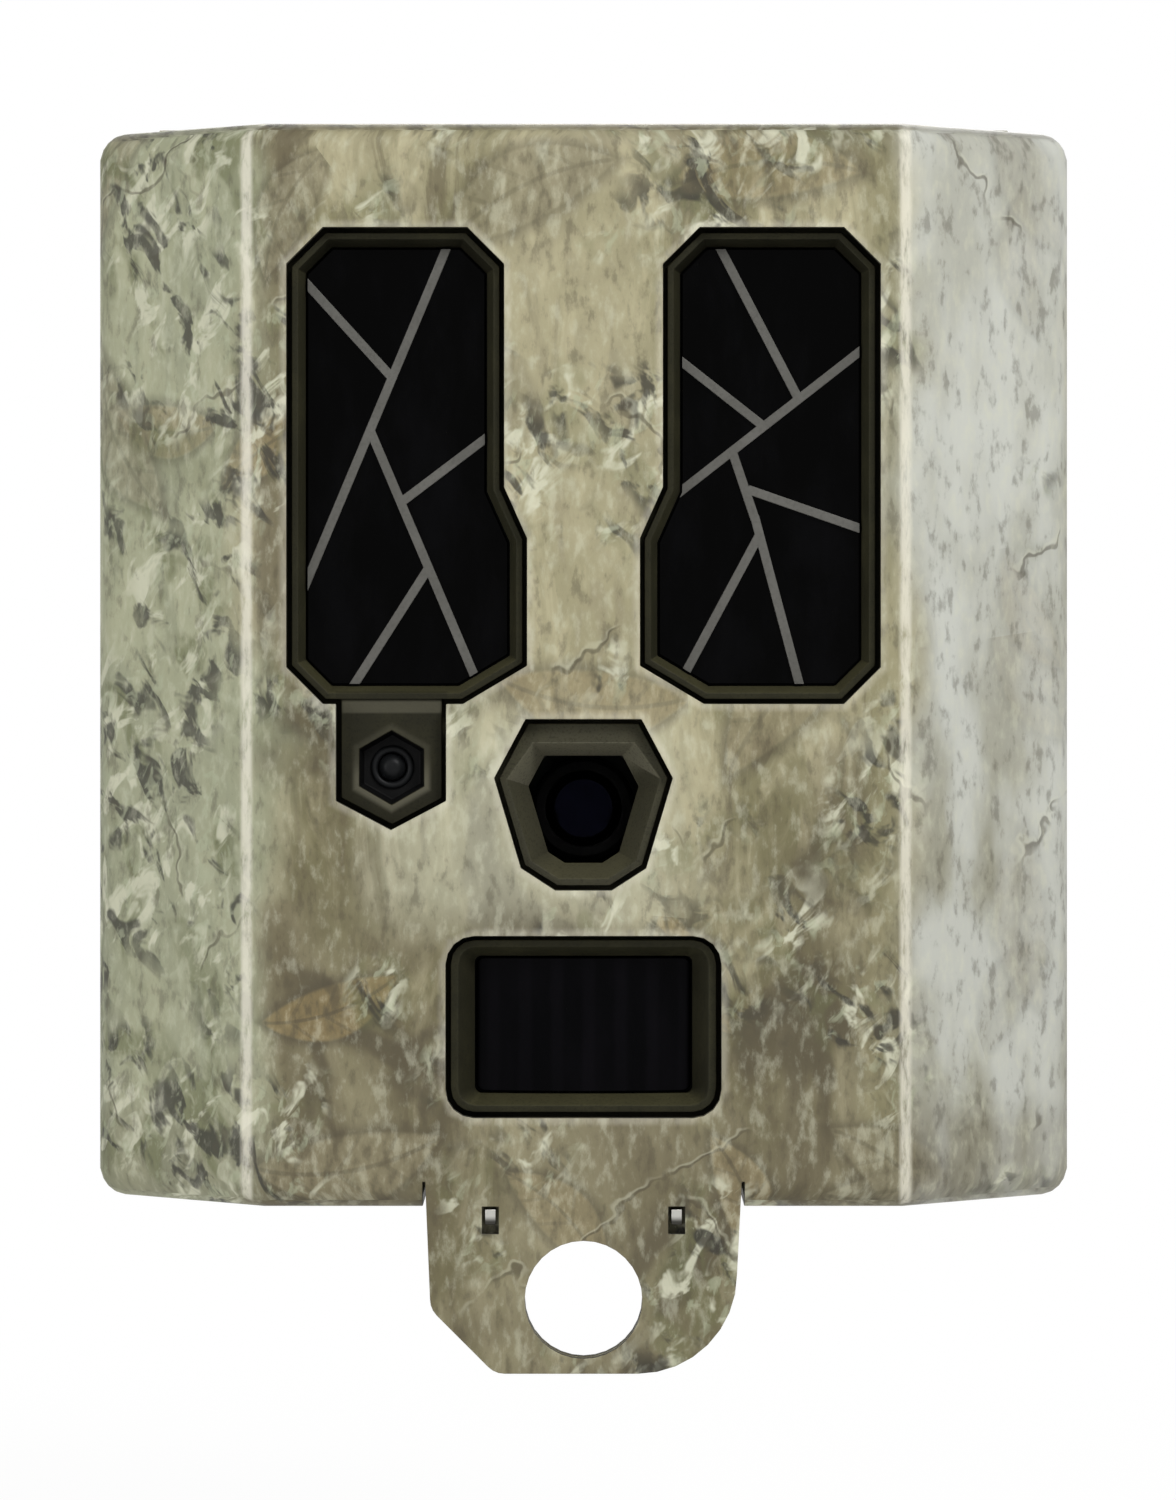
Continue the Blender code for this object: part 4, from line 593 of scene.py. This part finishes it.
def lens_front():
    """Front element of the lens, seen as dark glass whose antireflection coating mirrors blue and violet."""
    glass = Finish("lens_front", IOR=1.36, Specular_Tint=tone("8a90c8"))
    smear = glass.noise(glass.place(), 2, 3, 0.6)
    glass.set("Base Color", glass.blend(smear.rise(0.4, 0.7), "020203", "040308"))
    glass.set("Roughness", 0.05 + smear * 0.06)
    return glass.material


def lens_black():
    """Matt black of the lens barrel, with the fine rings that it is turned with."""
    black = Finish("lens_black", Specular_IOR_Level=0.12)
    place = black.place()
    rings = black.noise(black.vector("MULTIPLY", place, (0.2, 3.0, 0.2)), 0.4, 2, 0.5)
    black.set("Base Color", black.blend(rings, "060606", "0d0d0d"))
    black.set("Roughness", 0.6 + rings * 0.2)
    black.bump(rings, 0.2, 0.02)
    return black.material


def dull_plastic(name, colour, grit_size=0.4):
    """Matt plastic or rubber with a fine grit."""
    plastic = Finish(name)
    place = plastic.place()
    grit = plastic.noise(place, grit_size, 2, 0.6)
    cloud = plastic.noise(place, 8, 3, 0.6)
    plastic.set("Base Color", plastic.blend(cloud.rise(0.35, 0.7) * 0.4, colour, SHADE))
    plastic.set("Roughness", 0.42 + cloud * 0.2)
    plastic.bump(grit, 0.25, 0.03)
    return plastic.material


def bright_metal(name, colour, roughness):
    """Plated metal with fine drawn lines along Z."""
    metal = Finish(name, Metallic=1.0)
    place = metal.place()
    lines = metal.noise(metal.vector("MULTIPLY", place, (1.0, 1.0, 0.05)), 0.15, 3, 0.6)
    tarnish = metal.noise(place, 5, 4, 0.6)
    metal.set("Base Color", metal.blend(tarnish.rise(0.4, 0.75) * 0.5, colour, "77726a"))
    metal.set("Roughness", roughness + lines * 0.12 + tarnish * 0.1)
    metal.bump(lines, 0.2, 0.01)
    return metal.material


def display_glass():
    """Dark glass over the display's grey-green panel."""
    glass = Finish("display_glass", Coat_Weight=0.6)
    x, _, z = glass.split(glass.place())
    dots = (x * 9).math("SINE").rise(0.2, 0.8) * (z * 9).math("SINE").rise(0.2, 0.8)
    cloud = glass.noise(glass.place(), 12, 3, 0.5)
    glass.set("Base Color", glass.blend(dots * 0.5 + cloud * 0.3, "101614", "2a3430"))
    glass.set("Roughness", 0.12 + cloud * 0.1)
    return glass.material


def circuit_board():
    """Green lacquered board with a faint net of tracks."""
    board = Finish("circuit_board", Specular_IOR_Level=0.4)
    place = board.place()
    tracks = board.node("ShaderNodeTexBrick", {"offset": 0.5}, {
        "Vector": board.vector("MULTIPLY", place, (1.0, 0.0, 1.0)), "Scale": 0.3, "Mortar Size": 0.03}, 1)
    cloud = board.noise(place, 4, 3, 0.5)
    colour = board.blend(cloud.rise(0.4, 0.7), "173f26", "1f5230")
    board.set("Base Color", board.blend(tracks * 0.5, colour, "3c7a4a"))
    board.set("Roughness", 0.32 + cloud * 0.2)
    return board.material


def cell_jacket():
    """Shrink sleeve of a dry cell with a plain band round its middle."""
    jacket = Finish("cell_jacket", Coat_Weight=0.5)
    place = jacket.place()
    height = jacket.split(place)[2]
    tray_middle, row_offset, half_band = -1, 26, 11
    band = abs(abs(height - tray_middle) - row_offset).fall(half_band, half_band + 0.3)
    scuff = jacket.noise(place, 3, 4, 0.6)
    colour = jacket.blend(band, "23221f", "7d6a3c")
    jacket.set("Base Color", jacket.blend(scuff.rise(0.5, 0.8) * 0.3, colour, "8a8578"))
    jacket.set("Roughness", 0.3 + scuff * 0.15)
    return jacket.material


FINISHES = {
    "camo_steel": camouflage(),
    "plain_steel": bright_metal("plated_steel", STEEL, 0.28),
    "olive_plastic": casing_plastic(),
    "black_plastic": dull_plastic("black_plastic", "161616"),
    "dark_pane": infrared_pane(),
    "lens_glass": filter_glass(),
    "circuit_board": circuit_board(),
    "black_rubber": dull_plastic("black_rubber", "1d1c1a", 0.8),
    "brass": bright_metal("brass", "b89a58", 0.3),
    "cell_jacket": cell_jacket(),
}
SPECIAL = {
    "light_sensor": sensor_dome(),
    "pir_window": motion_pane(),
    "display": display_glass(),
    "lens_window": cover_glass(),
    "lens_glass": lens_front(),
    "lens_barrel": lens_black(),
}
RIB_PLASTIC = rib_plastic()
KEY_RUBBER = dull_plastic("key_rubber", "41413e", 0.5)
SPECIAL.update({node: KEY_RUBBER for node in frame["nodes"] if node.startswith("button_")})


def deselect():
    if bpy.context.object and bpy.context.object.mode != "OBJECT":
        bpy.ops.object.mode_set(mode="OBJECT")
    bpy.ops.object.select_all(action="DESELECT")


def pick(piece):
    """Select a piece alone and make it the one that operators act on."""
    deselect()
    piece.select_set(True)
    bpy.context.view_layer.objects.active = piece


def solid_copy(node, name):
    """Copy of a CAD piece as a new object, without the normals that came with it."""
    piece = bpy.data.objects.new(name, frame["nodes"][node].data.copy())
    bpy.context.scene.collection.objects.link(piece)
    pick(piece)
    bpy.ops.object.mode_set(mode="EDIT")
    bpy.ops.mesh.select_all(action="SELECT")
    bpy.ops.mesh.customdata_custom_splitnormals_clear()
    bpy.ops.object.mode_set(mode="OBJECT")
    return piece


def merge_flat(piece):
    """Join doubled points, and the triangles that lie in one plane."""
    pick(piece)
    bpy.ops.object.mode_set(mode="EDIT")
    bpy.ops.mesh.select_all(action="SELECT")
    bpy.ops.mesh.remove_doubles(threshold=MERGE_GAP)
    bpy.ops.mesh.dissolve_limited(angle_limit=FLAT_ANGLE)
    bpy.ops.object.mode_set(mode="OBJECT")


def ease(piece, width):
    """Round the sharp edges of a piece."""
    merge_flat(piece)
    rounding = piece.modifiers.new("rounding", "BEVEL")
    rounding.width = width
    rounding.segments = ROUND_SEGMENTS
    rounding.limit_method = "ANGLE"
    rounding.angle_limit = SHARP_ANGLE
    rounding.use_clamp_overlap = False
    bpy.ops.object.modifier_apply(modifier=rounding.name)
    shade(piece)


def shade(piece):
    """Smooth shading that follows the large faces."""
    pick(piece)
    bpy.ops.object.shade_smooth_by_angle(angle=SHARP_ANGLE)
    shading = piece.modifiers.new("shading", "WEIGHTED_NORMAL")
    shading.keep_sharp = True
    shading.weight = 100
    bpy.ops.object.modifier_apply(modifier=shading.name)


def stand_for(piece, node):
    """Let a piece take a CAD piece's place, inside its box."""
    low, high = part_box(node)
    for vertex in piece.data.vertices:
        vertex.co = [min(max(value, least), most) for value, least, most in zip(vertex.co, low, high)]
    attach(piece, frame["nodes"][node]["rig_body"])
    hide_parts(node)


def combine(piece, operation, tool):
    """Boolean of a piece with a tool, which is used up."""
    pick(piece)
    boolean = piece.modifiers.new("combine", "BOOLEAN")
    boolean.operation = operation
    boolean.object = tool
    bpy.ops.object.modifier_apply(modifier=boolean.name)
    bpy.data.objects.remove(tool)


def bar(start, end, front, back):
    """A straight rib between two points in X and Z, in millimetres."""
    a, b = (Vector((x / MM, 0, z / MM)) for x, z in (start, end))
    along = b - a
    deselect()
    bpy.ops.mesh.primitive_cube_add(size=1.0)
    made = bpy.context.object
    bpy.ops.object.mode_set(mode="EDIT")
    bpy.ops.transform.resize(value=(along.length, back - front, RIB_WIDTH))
    bpy.ops.object.mode_set(mode="OBJECT")
    made.rotation_euler = (0, math.atan2(-along.z, along.x), 0)
    made.location = (a + b) / 2 + Vector((0, (front + back) / 2, 0))
    bpy.ops.object.transform_apply(location=True, rotation=True, scale=True)
    ease(made, RIB_EDGE)
    return made


def lamp_window(node):
    """Flat pane of an infrared lamp window, and its ribs as one joined piece that ends at the pane's edge."""
    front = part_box(node)[0].y
    pane = solid_copy(node, node + "_pane")
    for vertex in pane.data.vertices:
        vertex.co.y = max(vertex.co.y, front + RIB_HEIGHT)
    trim = pane.copy()
    trim.data = pane.data.copy()
    bpy.context.scene.collection.objects.link(trim)
    for vertex in trim.data.vertices:
        vertex.co.y -= RIB_HEIGHT
    ease(pane, PANE_EDGE)
    stand_for(pane, node)
    dress(pane, FINISHES["dark_pane"])
    bars = [bar(start, end, front + MERGE_GAP, front + 2 * RIB_HEIGHT) for start, end in RIBS[node]]
    ribs = bars[0]
    ribs.name = node.replace("window", "ribs")
    for tool in bars[1:]:
        combine(ribs, "UNION", tool)
    combine(ribs, "INTERSECT", trim)
    merge_flat(ribs)
    shade(ribs)
    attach(ribs, "box")
    dress(ribs, RIB_PLASTIC)


def sensor_bezel():
    """Thin ring round the light sensor's dome, on the floor of its recess."""
    eye = middle("light_sensor") / MM
    floor = FRONT + RECESS_DEPTH
    deselect()
    bpy.ops.mesh.primitive_torus_add(
        major_radius=BEZEL_RADIUS, minor_radius=BEZEL_HALF_WIDTH, major_segments=48, minor_segments=12,
        location=(eye.x, floor, eye.z), rotation=(math.radians(90), 0, 0))
    ring = bpy.context.object
    ring.name = "light_sensor_bezel"
    bpy.ops.object.transform_apply(location=True, rotation=True, scale=True)
    bpy.ops.object.mode_set(mode="EDIT")
    bpy.ops.mesh.select_all(action="SELECT")
    bpy.ops.mesh.bisect(plane_co=(0, floor + 2 * MERGE_GAP, 0), plane_no=(0, 1, 0),
                        use_fill=True, clear_outer=True)
    bpy.ops.object.mode_set(mode="OBJECT")
    bpy.ops.object.shade_smooth_by_angle(angle=SHARP_ANGLE)
    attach(ring, "box")
    dress(ring, SPECIAL["light_sensor"])


def dress(piece, finish):
    """Give a piece its finish."""
    piece.data.materials.clear()
    piece.data.materials.append(finish)


SLOTS = {row["node"]: row["material_slot"] for row in frame["record"]["subparts"]}

# How far each piece's edges are rounded, in metres
EASED = {
    "box_cover": 0.00012, "box_tray": 0.00012, "front_shell": 0.00015, "rear_shell": 0.0002,
    "pir_window": 0.0002, "light_sensor": 0.0001, "side_bracket_left": 0.0002, "side_bracket_right": 0.0002,
    "latch_upper": 0.0002, "latch_lower": 0.0002, "hinge_pin": 0.0003, "door_pin": 0.0002,
    "battery_tray": 0.0003, "power_switch": 0.0002, "memory_card": 0.0002,
    "lens_barrel": 0.0001, "main_board": 0.0001,
}
SMALL = ("button_", "rear_pad", "floor_pad")
EASED.update({node: 0.0002 for node in frame["nodes"] if node.startswith(SMALL)})
EASED.update({node: 0.0003 for node in frame["nodes"] if node.startswith("battery_") and node not in EASED})

for node, solid in frame["nodes"].items():
    finish = SPECIAL.get(node, FINISHES[SLOTS[node]])
    if node in RIBS:
        lamp_window(node)
    elif node in EASED:
        piece = solid_copy(node, node + "_finish")
        ease(piece, EASED[node])
        stand_for(piece, node)
        dress(piece, finish)
    else:
        solid.material_slots[0].material = finish
sensor_bezel()


def studio_floor():
    """Pale floor that shows white to the camera and takes the object's shadow."""
    pale = Finish("studio_floor", Roughness=0.9)
    place = pale.place()
    near = pale.vector("LENGTH", place, output=1).fall(*FLOOR_FADE)
    grain = pale.noise(place, 40, 2, 0.5)
    pale.set("Base Color", pale.blend(grain * 0.2, "f4f4f2", "ebebe8"))
    glow = pale.node("ShaderNodeEmission", {}, {"Color": (1, 1, 1, 1), "Strength": 1.0})
    mixed = pale.node("ShaderNodeMixShader", {}, {
        0: pale.seen() * (1 - near * SHADOW_SHARE), 1: Signal(pale, pale.shader.outputs[0]), 2: glow})
    pale.feed(pale.tree.nodes["Material Output"].inputs["Surface"], mixed)
    deselect()
    bpy.ops.mesh.primitive_plane_add(size=FLOOR_SIZE, location=(0, 0, COVER_LOW.z - FLOOR_DROP))
    floor = bpy.context.object
    floor.name = "studio_floor"
    bpy.ops.object.transform_apply(location=True, rotation=False, scale=False)
    floor.data.materials.append(pale.material)


def studio_world():
    """White to the camera and in reflections, a plain grey light otherwise."""
    world = bpy.data.worlds.new("studio_world")
    world.use_nodes = True
    sky = Nodes(world.node_tree)
    background = sky.tree.nodes["Background"]
    background.inputs["Color"].default_value = (1, 1, 1, 1)
    strength = sky.node("ShaderNodeMapRange", {}, {"Value": sky.seen(), "To Min": SKY_LIGHT, "To Max": 1.0})
    sky.feed(background.inputs["Strength"], strength)
    bpy.context.scene.world = world


def soft_light(name, place, target, size, power):
    """Round soft lamp that points at a target."""
    lamp = bpy.data.lights.new(name, "AREA")
    lamp.shape = "DISK"
    lamp.size = size
    lamp.energy = power
    holder = bpy.data.objects.new(name, lamp)
    bpy.context.scene.collection.objects.link(holder)
    holder.location = place
    holder.rotation_euler = (Vector(target) - Vector(place)).to_track_quat("-Z", "Y").to_euler()


def photograph_camera():
    """Camera straight before the box, shifted to frame it as the photograph does."""
    lens = bpy.data.cameras.new("camera")
    lens.sensor_width = SENSOR
    lens.lens = SENSOR * VIEW_DISTANCE / (PHOTO_HEIGHT * PIXEL)
    lens.clip_start = 0.01
    camera = bpy.data.objects.new("camera", lens)
    bpy.context.scene.collection.objects.link(camera)
    x = (PHOTO_WIDTH / 2 - MIDDLE_PIXEL[0]) * PIXEL
    z = (MIDDLE_PIXEL[1] - PHOTO_HEIGHT / 2) * PIXEL
    camera.location = (x, FRONT - VIEW_DISTANCE, EYE_LEVEL)
    lens.shift_y = (z - EYE_LEVEL) / (PHOTO_HEIGHT * PIXEL)
    camera.rotation_euler = (math.radians(90), 0, 0)
    bpy.context.scene.camera = camera


studio_floor()
studio_world()
for name, settings in LIGHTS.items():
    soft_light(name, *settings)
photograph_camera()
bpy.context.scene.view_settings.view_transform = "Standard"
